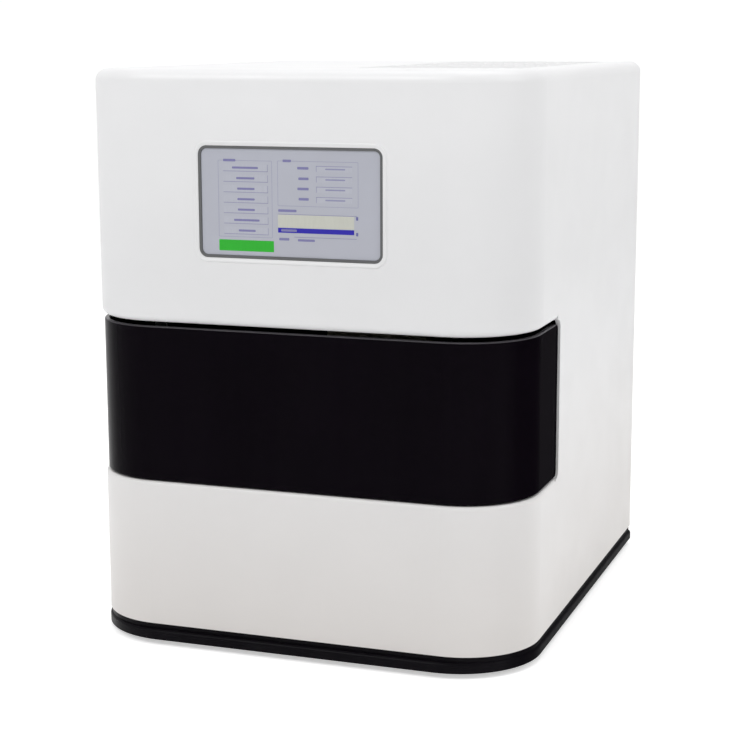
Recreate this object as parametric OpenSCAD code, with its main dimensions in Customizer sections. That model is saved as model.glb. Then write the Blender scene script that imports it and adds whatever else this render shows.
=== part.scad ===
// Bench-top automatic headspace sampler: a white moulded cover with a wrap-around black visor door,
// a vial carousel, a vial lifter, a heated oven block, a needle lift and a six-port valve.
// X runs to the right, Y to the back and Z up. Most pieces are placed by their depth behind the
// front face of the cover, which at_front() turns into Y.

/* [Cover] */
// Width of the cover
body_w = 400; // [380:1:440]
// Depth of the cover
body_d = 452; // [440:1:520]
// Height of the cover's top above the table
body_top = 500; // [490:1:560]
// Plan radius of the two front corners
corner_r = 68; // [50:1:75]
// Radius of the edge round the top
top_r = 10; // [7:0.5:14]
// Thickness of the cover's wall
wall = 4; // [3:0.5:5]
// Height of the lower edge of the band that the door closes
band_low = 147; // [145:1:153]
// Height of the upper edge of the band that the door closes
band_top = 287; // [285:1:293]
// Thickness of the moulded rim above the band
rim_up = 8; // [6:0.5:10]
// Thickness of the moulded rim below the band
rim_low = 6; // [5:0.5:8]
// Radius of the outer edge of the upper rim
rim_up_r = 6; // [2:0.5:6]
// Radius of the outer edge of the lower rim
rim_low_r = 3; // [1:0.5:4]
// How far both rims reach inwards from the outside
rim_reach = 14; // [12:0.5:18]
// Radius of the band's rear corners, seen from the side
band_corner_r = 7; // [3:0.5:8]
// Width of one louvre slot in the top
slot_w = 3; // [2:0.5:4]
// Length of one louvre slot in the top
slot_l = 100; // [60:5:105]
// Distance from one louvre slot to the next
slot_pitch = 10; // [9:0.5:11]
// Number of louvre slots in a row
slot_count = 15; // [8:1:15]
// Distance between two rows of louvre slots
slot_gap = 12; // [8:1:14]
// Distance of the outermost louvre slot from the right side
slot_side = 30; // [24:1:40]
// Distance of the louvre slots from the rear
slot_back = 40; // [30:1:44]
// Least distance of the louvre slots from the front
slot_front = 80; // [70:1:90]

/* [Base] */
// Height of the rubber feet
foot_h = 5; // [4:0.5:8]
// Diameter of the rubber feet
foot_d = 26; // [20:1:36]
// Distance of the feet from the sides and the rear
foot_inset = 50; // [40:1:70]
// Thickness of the base plate
base_t = 9; // [8:0.5:12]
// Height of the narrower step between the base plate and the cover
base_step = 4.5; // [3:0.5:6]
// How far that step lies inside the outside of the cover
step_inset = 1; // [0.5:0.25:2]
// How far the base stands out in front of the cover
base_lip = 4; // [3:0.5:8]
// How far the base stands out at each side
base_side = 0.8; // [0.5:0.1:2]
// Plan radius of the front corners of the base
base_corner_r = 74; // [70:1:90]
// Radius of the upper edge of the base
base_edge_r = 3; // [1.5:0.5:4]

/* [Door] */
// Thickness of the visor door
visor_t = 4; // [3:0.5:5]
// How far the door lies inside the outside of the cover
visor_inset = 1.8; // [1:0.1:3]
// How far the door's two legs run back along the sides
visor_leg = 126; // [112:1:134]
// Gap between the door and the upper rim
visor_gap_up = 3.8; // [3:0.1:6]
// Gap between the door and the lower rim
visor_gap_low = 1; // [0.6:0.1:2]
// Radius of the door's upper and lower outer edges
visor_edge_r = 1.5; // [0.5:0.25:1.5]
// Radius of the round stile at the hinge end
stile_r = 8; // [7.5:0.25:9]
// Diameter of the hinge pins
pin_d = 5; // [4:0.5:6]
// How deep a hinge pin sits in the stile
pin_depth = 14; // [10:1:20]
// Outer diameter of the hinge bushes
bush_d = 8; // [7:0.5:8.5]
// Gap behind the stile, which the leg needs when it swings out
jamb_gap_hinge = 5; // [4.5:0.1:7]
// Gap behind the door's free end
jamb_gap_free = 1.6; // [1:0.1:3]
// Width of the turned-in edge at the door's free end
return_w = 14; // [11:0.5:17]

/* [Screen] */
// Width of the visible screen
screen_w = 157.6; // [150:0.2:180]
// Height of the visible screen
screen_h = 88.2; // [84:0.2:100]
// Distance of the screen's middle from the middle of the cover, to the right
screen_right = 1.6; // [0:0.2:10]
// Distance of the screen's middle below the middle of the cover's upper part
screen_drop = 2; // [0:0.5:6]
// How far the display module reaches past the screen on every side
module_rim = 6; // [4:0.5:7]
// Width of the bezel's rim
bezel_rim = 2.4; // [2:0.1:4]
// Corner radius of the bezel
bezel_r = 7.5; // [5:0.25:9]
// Depth of the display module behind the panel
module_t = 18; // [14:1:26]

/* [Bay] */
// Thickness of the deck and the ceiling plate
plate_t = 3; // [2:0.5:4]
// Depth of the deck behind the front
deck_depth = 345; // [336:1:360]
// Distance of the ceiling plate from the cover's rear
ceiling_gap = 40; // [35:1:50]
// Distance of the bay's rear wall from the deck's rear edge
liner_inset = 15; // [11:1:19]
// Distance of the bay's side walls from the outside of the cover
liner_gap = 18; // [17:0.5:24]
// Thickness of the bay's sheet-metal walls
liner_t = 1.5; // [1:0.25:2]
// Diameter of the deck's posts
post_d = 14; // [10:1:18]

/* [Carousel] */
// Number of vial pockets
pockets = 12; // [8:1:12]
// Diameter of a vial pocket
pocket_d = 23.4; // [23:0.1:24]
// Distance of the pockets from the spindle
pocket_r = 122; // [116:0.5:126]
// Outer radius of the carousel's plates
carousel_r = 130; // [125:0.5:132]
// Distance of the spindle from the front
carousel_v = 148; // [144:0.5:152]
// Height of the carousel's floor above the deck
floor_rise = 10; // [8:0.5:12]
// Thickness of the carousel's floor
floor_t = 3; // [2:0.5:4]
// Height of the holed plate above the floor
plate_rise = 30; // [24:1:36]
// Thickness of the holed plate
pocket_plate_t = 4; // [3:0.5:5]
// Diameter of the hole under each vial
vial_hole_d = 16; // [14.5:0.5:18]
// Diameter of the spindle
spindle_d = 12; // [10:0.5:14]
// Module of the gear teeth
gear_m = 2; // [2:0.5:2]
// Teeth on the carousel's gear
gear_teeth = 72; // [72:18:72]
// Teeth on the motor's pinion
pinion_teeth = 18; // [18:18:18]
// Width of the gear's teeth
gear_t = 10; // [7:0.5:12]
// Height of the gear's lower face
gear_low = 66; // [60:0.5:70]

/* [Oven and lifts] */
// Side of the oven block
oven_side = 80; // [70:1:84]
// Height of the oven block's lower face
oven_low = 235; // [234:0.5:240]
// Diameter of the oven's vial bore
oven_bore = 23.8; // [23.4:0.1:24.6]
// Thickness of the block that stays above the bore
oven_roof = 10; // [8:0.5:14]
// Thickness of the insulation round the oven
jacket_t = 10; // [7:0.5:10]
// Diameter of the guide rods
rod_d = 8; // [6:0.5:10]
// Distance of each guide rod from the middle
rod_x = 32; // [30:0.5:36]
// Diameter of the lead screws
screw_d = 8; // [6:0.5:9]
// Travel of the needle lift
needle_travel = 45; // [40:1:50]
// Gap between the needle lift's motor and the cover's top
motor_gap = 3; // [2:0.5:8]
// Diameter of the lifter's plunger
plunger_d = 12; // [10:0.5:13]
// Diameter of the sampling needle
needle_d = 1.6; // [1.2:0.1:2]
// Thickness of the lifts' carriages
carriage_t = 12; // [10:0.5:12]
// Side of the stepper motors
motor_side = 42.3; // [40:0.1:43]

/* [Valve] */
// Distance of the valve's middle from the right side of the cover
valve_side = 50; // [46:0.5:60]
// Distance of the valve's middle from the front
valve_v = 275; // [265:1:290]
// Height of the heated block under the valve
valve_block_h = 40; // [36:1:60]
// Diameter of the valve body
valve_d = 34; // [30:0.5:38]
// Height of the valve body
valve_h = 24; // [20:0.5:28]

/* [Rear] */
// Thickness of the rear panel
panel_t = 1.5; // [1:0.25:2]
// How far the rear panel lies inside the cover's rear edge
panel_inset = 3; // [2.5:0.5:6]
// Side of the fan
fan_side = 80; // [70:1:90]
// Depth of the fan
fan_t = 25; // [20:1:30]
// Diameter of the fan's hub
fan_hub_d = 32; // [28:0.5:38]
// Distance of the fan's middle from the left side and from the top
fan_in = 95; // [70:1:110]
// Width of the power supply
supply_w = 100; // [80:1:104]
// Depth of the power supply
supply_d = 98; // [80:1:104]
// Height of the power supply
supply_h = 52; // [40:1:56]
// How far the longest rear fitting stands out behind the cover
fitting_reach = 13; // [11:0.5:18]

/* [Fits] */
// Radial clearance of every shaft, pin and rod that runs in a bore
run_gap = 0.05; // [0.02:0.01:0.08]
// Clearance between pieces that are put together and stay
fit_gap = 0.2; // [0.1:0.05:0.3]
// Clearance between a moving piece and the one that carries it
seat_gap = 0.3; // [0.25:0.05:0.4]
// Backlash of the gear pair
backlash = 0.3; // [0.2:0.05:0.4]

/* [Hidden] */
$fn = 64;

// Y of the cover's front face: the whole depth, lip and fittings included, is centred on the origin
front_y = base_lip - (base_lip + body_d + fitting_reach) / 2;

base_top = foot_h + base_t + base_step;
deck_top = band_low - rim_low;
deck_low = deck_top - plate_t;
ceiling_low = band_top + rim_up;
ceiling_top = ceiling_low + plate_t;
// Plates inside the cover keep this far from its outside
inner_inset = wall + fit_gap;
slot_rows = floor((body_d - slot_back - slot_front + slot_gap) / (slot_l + slot_gap));
panel_v = body_d - panel_inset - panel_t;
panel_back = panel_v + panel_t;
ceiling_depth = body_d - ceiling_gap;
liner_half = body_w / 2 - liner_gap;
liner_back = deck_depth - liner_inset;
screen_z = (band_top + body_top) / 2 - screen_drop;

// Door
visor_low = band_low + visor_gap_low;
visor_top = band_top - visor_gap_up;
stile_x = -body_w / 2 + visor_inset + stile_r;
stile_v = visor_leg - stile_r;
bush_low_top = visor_low - seat_gap;
bush_up_low = visor_top + seat_gap;
catch_t = 1.5;
catch_w = return_w - 5;
catch_h = 24;
catch_z = (visor_low + visor_top) / 2;
catch_x = body_w / 2 - wall - 1.3 - catch_w / 2;

// Carousel
floor_low = deck_top + floor_rise;
floor_top = floor_low + floor_t;
pocket_plate_low = floor_top + plate_rise;
pocket_plate_top = pocket_plate_low + pocket_plate_t;
pillar_r = 80;
pillar_d = 8;
hub_r = 20;
bearing_d = spindle_d + 16;
bearing_t = 8;
housing_d = bearing_d + 10;
housing_low = gear_low + gear_t + 9;
gear_centres = gear_m * (gear_teeth + pinion_teeth) / 2;
motor_shaft_d = 5;

// Oven and lifts
oven_v = carousel_v + pocket_r;
oven_top = ceiling_top;
oven_out = oven_side + 2 * jacket_t;
bridge_t = 6;
bridge_w = oven_out + 22;
bridge_d = oven_out + 16;
screw_back = 34;
motor_h = 38;
motor_boss_d = 22;
top_plate_low = body_top - wall - motor_gap - motor_h - bridge_t;
carriage_rest = top_plate_low - carriage_t - 1;
needle_tip = oven_top - oven_roof / 2;
needle_hub_h = 8;
heater_d = 6.5;
heater_x = 26;
flat_motor_h = 24;
lifter_back = 40;
lifter_rest = base_top + flat_motor_h + 2;
plunger_top = floor_low - 2;
bush_wall = 3;
screw_socket = 8;
carriage_half = rod_x + rod_d / 2 + bush_wall + 5;

// Valve
valve_x = body_w / 2 - valve_side;
valve_base = ceiling_top + valve_block_h;
valve_block_w = 80;
valve_block_d = 70;
actuator_w = 76;
actuator_d = 50;
actuator_h = 34;
actuator_leg = 6;
valve_seat_d = 20;
valve_seat_h = 10;
stem_d = 8;
port_l = 8;
loop_r = valve_d / 2 + port_l + 3;
tube_d = 2;

// Rear
fan_x = fan_in - body_w / 2;
fan_z = body_top - fan_in;
inlet_x = 75 - body_w / 2;
inlet_z = base_top + supply_h + 30;
inlet_w = 76;
inlet_h = 30;
gland_x = body_w / 2 - 72;
gland_z = ceiling_top + 50;
gland_d = 22;
gland_nut = 32;
rocker_x = 22;
rocker_w = 15 - 2 * seat_gap;
rocker_tilt = 8;
rocker_pivot = 0.5;
gas_x = body_w / 2 - 105;
gas_z = 95;
gas_pitch = 28;
gas_d = 10;
gas_nut = 15;
socket_x = inlet_x + 80;
socket_z = inlet_z;
socket_w = 31;
socket_h = 12;
vents_x = [20, 75];
vents_z = 200;
lug_low = base_top + 22;
lug_pitch = (body_top - 62 - lug_low) / 3;
screw_lugs = [for (i = [0:3]) lug_low + lug_pitch * i];
lug_w = 12;
lug_d = 14;
lug_x = body_w / 2 - wall - lug_w / 2 + 0.5;

// Electronics and gas
supply_x = supply_w / 2 + 34 - body_w / 2;
supply_v = panel_v - supply_d - 5;
manifold_x = body_w / 2 - 87;
manifold_v = panel_v - 92;
manifold_w = 104;
manifold_d = 44;
manifold_h = 34;
coil_w = 26;
board_w = 80;
board_l = 170;
board_x = board_w / 2 + 12 - body_w / 2;
board_v = ceiling_depth - 12 - board_l;

// Moves a piece from depth behind the cover's front face to its place
module at_front() {
    translate([0, front_y, 0]) children();
}

// Plan outline: straight rear, straight sides and two round front corners
module outline(w, front, r, back) {
    translate([-w / 2, front + r]) square([w, back - front - r]);
    translate([-w / 2 + r, front]) square([w - 2 * r, r + 1]);
    for (s = [-1, 1]) translate([s * (w / 2 - r), front + r]) circle(r, $fn = 96);
}

// Carries a section round the sides and front of an outline: x of the section points inwards
module wrap(w, front, r, back) {
    for (s = [0, 1]) mirror([s, 0, 0]) {
        translate([-w / 2, back, 0]) rotate([90, 0, 0]) linear_extrude(back - front - r) children();
        translate([-w / 2 + r, front + r, 0]) rotate(180)
            rotate_extrude(angle = 90, $fn = 96) translate([r, 0]) mirror([1, 0]) children();
    }
    translate([-w / 2 + r, front, 0]) rotate([90, 0, 90]) linear_extrude(w - 2 * r) children();
}

// The outline of the cover, moved inwards by a distance
module cover_outline(inset, back) {
    outline(body_w - 2 * inset, inset, corner_r - inset, back);
}

module cover_wrap(inset, back) {
    wrap(body_w - 2 * inset, inset, corner_r - inset, back) children();
}

// Solid of an outline with a rounded upper edge
module rounded_slab(w, front, r, back, low, top, edge) {
    translate([0, 0, low]) linear_extrude(top - edge - low) outline(w, front, r, back);
    translate([0, 0, low]) linear_extrude(top - low)
        outline(w - 2 * edge, front + edge, r - edge, back);
    translate([0, 0, top - edge]) wrap(w, front, r, back) intersection() {
        translate([edge, 0]) circle(edge);
        square(edge + 0.5);
    }
}

module hood(inset, low, top, edge, back) {
    rounded_slab(body_w - 2 * inset, inset, corner_r - inset, back, low, top, edge);
}

// What a round-over takes off a corner at the section's origin
module round_off(r) {
    difference() {
        translate([-1, -1]) square(r + 1);
        translate([r, r]) circle(r);
    }
}

module rounded_rect(w, h, r) {
    square([w - 2 * r, h], center = true);
    square([w, h - 2 * r], center = true);
    for (x = [-1, 1], y = [-1, 1]) translate([x * (w / 2 - r), y * (h / 2 - r)]) circle(r, $fn = 32);
}

// Plate that stands upright: its section lies in X and Z, and it runs from depth v towards the rear
module upright(x, z, v, t) {
    translate([x, v + t, z]) rotate([90, 0, 0]) linear_extrude(t) children();
}

// Rod that points to the rear
module rear_rod(x, z, v, l, d) {
    translate([x, v + l, z]) rotate([90, 0, 0]) cylinder(h = l, d = d);
}

// Block given by its middle in X and by its lowest corner in depth and height
module block(x, v, z, size) {
    translate([x - size[0] / 2, v, z]) cube(size);
}

// Base

module base_plate() {
    color([0.07, 0.07, 0.08]) at_front() difference() {
        union() {
            rounded_slab(body_w + 2 * base_side, -base_lip, base_corner_r, body_d, foot_h, foot_h + base_t,
                base_edge_r);
            translate([0, 0, foot_h + base_t - 0.5]) linear_extrude(base_step + 0.5)
                cover_outline(step_inset, body_d - step_inset);
        }
        for (i = [0:7]) translate([0, body_d - 34 - 12 * i, foot_h - 1])
            linear_extrude(base_t + base_step + 2) rounded_rect(80, 5, 2.4);
    }
}

module rubber_feet() {
    color([0.12, 0.12, 0.12]) at_front()
        for (x = [-1, 1], v = [foot_inset, body_d - foot_inset])
            translate([x * (body_w / 2 - foot_inset), v, 0]) {
                cylinder(h = 1, d1 = foot_d - 2, d2 = foot_d);
                translate([0, 0, 1]) cylinder(h = foot_h - 1, d = foot_d);
            }
}

// Cover

// The band that the door closes, seen from the side, with round rear corners
module band_side(back) {
    h = band_top - band_low;
    translate([-60, band_low]) square([60 + back - band_corner_r, h]);
    translate([-60, band_low + band_corner_r]) square([60 + back, h - 2 * band_corner_r]);
    for (z = [band_low + band_corner_r, band_top - band_corner_r])
        translate([back - band_corner_r, z]) circle(band_corner_r);
}

module band_cut() {
    half = body_w / 2 + 1;
    translate([-half, 0, 0]) rotate([90, 0, 90]) linear_extrude(half)
        band_side(visor_leg + jamb_gap_hinge);
    rotate([90, 0, 90]) linear_extrude(half) band_side(visor_leg + jamb_gap_free);
}

module louvres() {
    for (i = [0:slot_count - 1], row = [0:slot_rows - 1])
        translate([body_w / 2 - slot_side - slot_pitch * i,
            body_d - slot_back - slot_l / 2 - row * (slot_l + slot_gap), body_top - wall - 1])
            linear_extrude(wall + 2) rounded_rect(slot_w, slot_l, slot_w / 2 - 0.05);
}

module cover_shell() {
    rim_back = visor_leg + jamb_gap_hinge + 12;
    opening_w = screen_w + 2 * (bezel_rim + fit_gap);
    opening_h = screen_h + 2 * (bezel_rim + fit_gap);
    color([0.93, 0.93, 0.93]) at_front() difference() {
        union() {
            difference() {
                hood(0, base_top, body_top, top_r, body_d);
                translate([0, 0, -1]) hood(wall, base_top, body_top - wall + 1, top_r - wall, body_d + 1);
            }
            translate([0, 0, band_top]) cover_wrap(wall - 0.5, rim_back) square([rim_reach - wall, rim_up]);
            translate([0, 0, deck_top]) cover_wrap(wall - 0.5, rim_back) square([rim_reach - wall, rim_low]);
            for (s = [-1, 1], z = screw_lugs)
                block(s * lug_x, panel_v - lug_d, z, [lug_w, lug_d, lug_w]);
        }
        band_cut();
        translate([0, 0, band_top]) cover_wrap(0, visor_leg - band_corner_r) round_off(rim_up_r);
        translate([0, 0, band_low]) mirror([0, 0, 1]) cover_wrap(0, visor_leg - band_corner_r)
            round_off(rim_low_r);
        upright(screen_right, screen_z, -1, wall + 2) rounded_rect(opening_w, opening_h, bezel_r);
        upright(screen_right, screen_z, -1, 1.8) rounded_rect(opening_w + 2, opening_h + 2, bezel_r + 1);
        louvres();
        for (z = [deck_top - 1, band_top - 1])
            translate([stile_x, stile_v, z]) cylinder(h = rim_up + 2, d = bush_d + 2 * fit_gap);
        for (s = [-1, 1], z = screw_lugs)
            rear_rod(s * lug_x, z + lug_w / 2, panel_v - lug_d - 1, lug_d + 2, 3);
    }
}

module rear_panel() {
    w = body_w - 2 * inner_inset;
    low = base_top;
    top = body_top - inner_inset;
    r = top_r;
    color([0.80, 0.80, 0.79]) at_front() difference() {
        translate([0, panel_back, 0]) rotate([90, 0, 0]) linear_extrude(panel_t) difference() {
            union() {
                translate([-w / 2, low]) square([w, top - low - r]);
                translate([-w / 2 + r, low]) square([w - 2 * r, top - low]);
                for (s = [-1, 1]) translate([s * (w / 2 - r), top - r]) circle(r);
            }
            translate([fan_x, fan_z]) circle(d = fan_side - 6);
            translate([inlet_x, inlet_z])
                square([inlet_w + 2 * fit_gap, inlet_h + 2 * fit_gap], center = true);
            translate([socket_x, socket_z])
                square([socket_w + 2 * fit_gap, socket_h + 2 * fit_gap], center = true);
            translate([gland_x, gland_z]) circle(d = gland_d + 2 * fit_gap);
            for (i = [0:2]) translate([gas_x + gas_pitch * i, gas_z]) circle(d = gas_d + 2 * fit_gap);
            for (s = [-1, 1], z = screw_lugs)
                translate([s * lug_x, z + lug_w / 2]) circle(d = 3.6, $fn = 24);
            for (i = [0:8], x = vents_x)
                translate([x, vents_z + 9 * i]) rounded_rect(42, 3.4, 1.65);
        }
    }
}

module rear_screws() {
    color([0.75, 0.75, 0.76]) at_front()
        for (s = [-1, 1], z = screw_lugs)
            difference() {
                union() {
                    rear_rod(s * lug_x, z + lug_w / 2, panel_v - 10, 10 + panel_t, 2.8);
                    rear_rod(s * lug_x, z + lug_w / 2, panel_back, 1.9, 6);
                }
                translate([s * lug_x, panel_back + 3, z + lug_w / 2])
                    rotate([90, 0, 0]) cylinder(h = 2.1, d = 2.4, $fn = 6);
            }
}

// Bay

module deck_plate() {
    color([0.62, 0.63, 0.64]) at_front() difference() {
        translate([0, 0, deck_low]) linear_extrude(plate_t) cover_outline(inner_inset, deck_depth);
        translate([0, carousel_v, deck_low - 1]) cylinder(h = plate_t + 2, d = housing_d + 2 * fit_gap);
        translate([0, oven_v, deck_low - 1]) cylinder(h = plate_t + 2, d = plunger_d + 4);
        translate([stile_x, stile_v, deck_low - 1]) cylinder(h = plate_t + 2, d = bush_d + 2 * fit_gap);
    }
}

module deck_posts() {
    color([0.70, 0.70, 0.71]) at_front()
        for (s = [-1, 1], p = [[body_w / 2 - 38, 62], [body_w / 2 - 25, deck_depth - 20]])
            translate([s * p[0], p[1], base_top]) cylinder(h = deck_low - base_top, d = post_d);
}

module bay_liner() {
    h = ceiling_low - deck_top;
    front = visor_leg + jamb_gap_hinge + 14;
    color([0.16, 0.16, 0.17]) at_front() translate([0, 0, deck_top]) {
        for (s = [-1, 1])
            block(s * (liner_half + liner_t / 2), front, 0, [liner_t, liner_back + liner_t - front, h]);
        block(0, liner_back, 0, [2 * liner_half + liner_t, liner_t, h]);
    }
}

module ceiling_plate() {
    hole = oven_out + 2 * fit_gap;
    color([0.62, 0.63, 0.64]) at_front() difference() {
        translate([0, 0, ceiling_low]) linear_extrude(plate_t) cover_outline(inner_inset, ceiling_depth);
        block(0, oven_v - hole / 2, ceiling_low - 1, [hole, hole, plate_t + 2]);
        translate([stile_x, stile_v, ceiling_low - 1]) cylinder(h = plate_t + 2, d = bush_d + 2 * fit_gap);
    }
}

// Screen

module screen_bezel() {
    color([0.35, 0.35, 0.36]) at_front() difference() {
        union() {
            upright(screen_right, screen_z, 0.4, wall - 0.4)
                rounded_rect(screen_w + 2 * bezel_rim, screen_h + 2 * bezel_rim, bezel_r);
            upright(screen_right, screen_z, wall, 2)
                rounded_rect(screen_w + 2 * module_rim, screen_h + 2 * module_rim, bezel_r);
        }
        upright(screen_right, screen_z, -1, wall + 4)
            rounded_rect(screen_w + 2 * fit_gap, screen_h + 2 * fit_gap, bezel_r - bezel_rim);
    }
}

module touch_panel() {
    color([0.72, 0.72, 0.77]) at_front()
        upright(screen_right, screen_z, 1.4, wall + 2 - 1.4)
            rounded_rect(screen_w, screen_h, bezel_r - bezel_rim);
}

module display_module() {
    color([0.45, 0.47, 0.46]) at_front() {
        upright(screen_right, screen_z, wall + 2, module_t)
            rounded_rect(screen_w + 2 * module_rim, screen_h + 2 * module_rim, 3);
        upright(screen_right, screen_z, wall + 2 + module_t, 6) square([90, 50], center = true);
    }
}

// Door

// Section of the door's wall: thickness inwards, height up, with rounded outer edges
module visor_section() {
    h = visor_top - visor_low;
    e = visor_edge_r;
    translate([e, 0]) square([visor_t - e, h]);
    translate([0, e]) square([visor_t, h - 2 * e]);
    for (z = [e, h - e]) translate([e, z]) circle(e, $fn = 32);
}

module visor_door() {
    w = body_w - 2 * visor_inset;
    r = corner_r - visor_inset;
    h = visor_top - visor_low;
    margin = 20;
    color([0.06, 0.05, 0.08]) at_front() difference() {
        union() {
            intersection() {
                translate([0, 0, visor_low]) wrap(w, visor_inset, r, visor_leg) visor_section();
                union() {
                    translate([-w, 0, 0]) rotate([90, 0, 90]) linear_extrude(w) door_side(stile_v);
                    rotate([90, 0, 90]) linear_extrude(w) door_side(visor_leg);
                }
            }
            translate([stile_x, stile_v, visor_low]) cylinder(h = h, r = stile_r);
            block(w / 2 - return_w / 2, visor_leg - visor_t, visor_low + margin,
                [return_w - 1, visor_t - 0.02, h - 2 * margin]);
        }
        for (z = [visor_low - 1, visor_top - pin_depth])
            translate([stile_x, stile_v, z]) cylinder(h = pin_depth + 1, d = pin_d);
        block(catch_x, visor_leg - catch_t, catch_z - catch_h / 2,
            [catch_w + 2 * fit_gap, catch_t + 1, catch_h + 2 * fit_gap]);
    }
}

// The door's side view, with the free end's corners rounded like the band's
module door_side(back) {
    h = visor_top - visor_low;
    r = back < visor_leg ? 0.5 : band_corner_r - 1;
    translate([-60, visor_low]) square([60 + back - r, h]);
    translate([-60, visor_low + r]) square([60 + back, h - 2 * r]);
    for (z = [visor_low + r, visor_top - r]) translate([back - r, z]) circle(r);
}

module pivot_pins() {
    color([0.78, 0.78, 0.80]) at_front() translate([stile_x, stile_v, 0]) {
        translate([0, 0, deck_low]) cylinder(h = visor_low + pin_depth - 1 - deck_low, d = pin_d);
        translate([0, 0, visor_top - pin_depth]) cylinder(h = ceiling_top - visor_top + pin_depth, d = pin_d);
    }
}

module hinge_bushes() {
    color([0.72, 0.58, 0.30]) at_front() translate([stile_x, stile_v, 0]) difference() {
        union() {
            translate([0, 0, deck_low]) cylinder(h = bush_low_top - deck_low, d = bush_d);
            translate([0, 0, bush_up_low]) cylinder(h = ceiling_top - bush_up_low, d = bush_d);
        }
        translate([0, 0, deck_low - 1]) cylinder(h = ceiling_top - deck_low + 2, d = pin_d + 2 * run_gap);
    }
}

module catch_plate() {
    color([0.75, 0.75, 0.76]) at_front()
        block(catch_x, visor_leg - catch_t, catch_z - catch_h / 2 + fit_gap, [catch_w, catch_t, catch_h]);
}

module catch_magnet() {
    front = visor_leg + seat_gap;
    side = liner_half + liner_t;
    arm = catch_x - catch_w / 2 + 3 - side;
    color([0.20, 0.20, 0.21]) at_front() {
        block(catch_x, front, catch_z - catch_h / 2, [catch_w, 16, catch_h]);
        block(side + arm / 2, front + 8, catch_z - catch_h / 2, [arm, 34, catch_h]);
    }
}

// Carousel

module carousel_plate() {
    color([0.20, 0.21, 0.23]) at_front() translate([0, carousel_v, pocket_plate_low]) difference() {
        cylinder(h = pocket_plate_t, r = carousel_r, $fn = 128);
        translate([0, 0, -1]) cylinder(h = pocket_plate_t + 2, d = spindle_d + 2 * run_gap);
        for (i = [0:pockets - 1]) rotate(90 + 360 / pockets * i) translate([pocket_r, 0, -1])
            cylinder(h = pocket_plate_t + 2, d = pocket_d);
    }
}

module carousel_floor() {
    color([0.75, 0.76, 0.77]) at_front() translate([0, carousel_v, floor_low]) difference() {
        cylinder(h = floor_t, r = carousel_r + 4, $fn = 128);
        translate([0, 0, -1]) cylinder(h = floor_t + 2, d = spindle_d + 2 * run_gap);
        for (i = [0:pockets - 1]) rotate(90 + 360 / pockets * i) translate([pocket_r, 0, -1])
            cylinder(h = floor_t + 2, d = vial_hole_d);
    }
}

module carousel_pillars() {
    color([0.78, 0.78, 0.80]) at_front() translate([0, carousel_v, floor_top])
        for (i = [0:5]) rotate(60 * i) translate([pillar_r, 0, 0]) cylinder(h = plate_rise, d = pillar_d);
}

module carousel_spindle() {
    color([0.80, 0.80, 0.82]) at_front() translate([0, carousel_v, 0]) {
        translate([0, 0, gear_low - 4]) cylinder(h = pocket_plate_top + 14 - gear_low + 4, d = spindle_d);
        difference() {
            translate([0, 0, floor_top]) cylinder(h = plate_rise, r = hub_r);
            translate([0, 0, floor_top - 1]) cylinder(h = plate_rise + 2, d = spindle_d - 1);
        }
    }
}

module spindle_nut() {
    color([0.15, 0.15, 0.16]) at_front() translate([0, carousel_v, pocket_plate_top]) difference() {
        union() {
            cylinder(h = 4, d = 34);
            cylinder(h = 13, d = 26);
        }
        translate([0, 0, -1]) cylinder(h = 20, d = spindle_d + 2 * run_gap);
        for (i = [0:11]) rotate(30 * i + 15) translate([14, 0, 5.5]) cylinder(h = 12, d = 4.4);
    }
}

function involute(a) = tan(a) * 180 / PI - a;

// Angle of a tooth's flank from its middle at radius p
function flank(p, rb, half) = half + involute(20) - (p > rb ? involute(acos(rb / p)) : 0);

function tooth(rr, rb, rt, half) =
    let (rm = (max(rb, rr) + rt) / 2,
         side = [for (p = [rr, max(rb, rr) + 0.01, rm, rt]) [p, flank(p, rb, half)]])
    concat([for (i = [0:3]) [side[i][0], -side[i][1]]], [for (i = [3:-1:0]) side[i]]);

module gear_outline(teeth) {
    rp = gear_m * teeth / 2;
    rb = rp * cos(20);
    half = 90 / teeth - backlash / 4 / rp * 180 / PI;
    profile = tooth(rp - 1.3 * gear_m, rb, rp + gear_m, half);
    polygon([for (k = [0:teeth - 1]) for (q = profile)
        let (a = q[1] + 360 / teeth * k) [q[0] * cos(a), q[0] * sin(a)]]);
}

module carousel_gear() {
    color([0.86, 0.84, 0.76]) at_front() translate([0, carousel_v, gear_low]) difference() {
        union() {
            linear_extrude(gear_t) gear_outline(gear_teeth);
            cylinder(h = gear_t + 6, r = hub_r);
        }
        translate([0, 0, -1]) cylinder(h = gear_t + 8, d = spindle_d + 2 * run_gap);
        for (i = [0:5]) rotate(60 * i) translate([42, 0, -1]) cylinder(h = gear_t + 2, d = 26);
    }
}

module spindle_housing() {
    color([0.66, 0.67, 0.68]) at_front() translate([0, carousel_v, 0]) difference() {
        union() {
            translate([0, 0, housing_low]) cylinder(h = deck_top - housing_low, d = housing_d);
            translate([0, 0, deck_top]) cylinder(h = 4, d = housing_d + 24);
        }
        translate([0, 0, housing_low - 1]) cylinder(h = bearing_t + 1 + fit_gap / 2, d = bearing_d + 0.02);
        translate([0, 0, deck_top + 4 - bearing_t]) cylinder(h = bearing_t + 1, d = bearing_d + 0.02);
        translate([0, 0, housing_low - 1]) cylinder(h = deck_top - housing_low + 6, d = bearing_d - 6);
    }
}

module spindle_bearings() {
    color([0.70, 0.71, 0.73]) at_front() translate([0, carousel_v, 0])
        for (z = [housing_low, deck_top + 4 - bearing_t])
            translate([0, 0, z]) difference() {
                cylinder(h = bearing_t, d = bearing_d);
                translate([0, 0, -1]) cylinder(h = bearing_t + 2, d = spindle_d + 2 * run_gap);
            }
}

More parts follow.
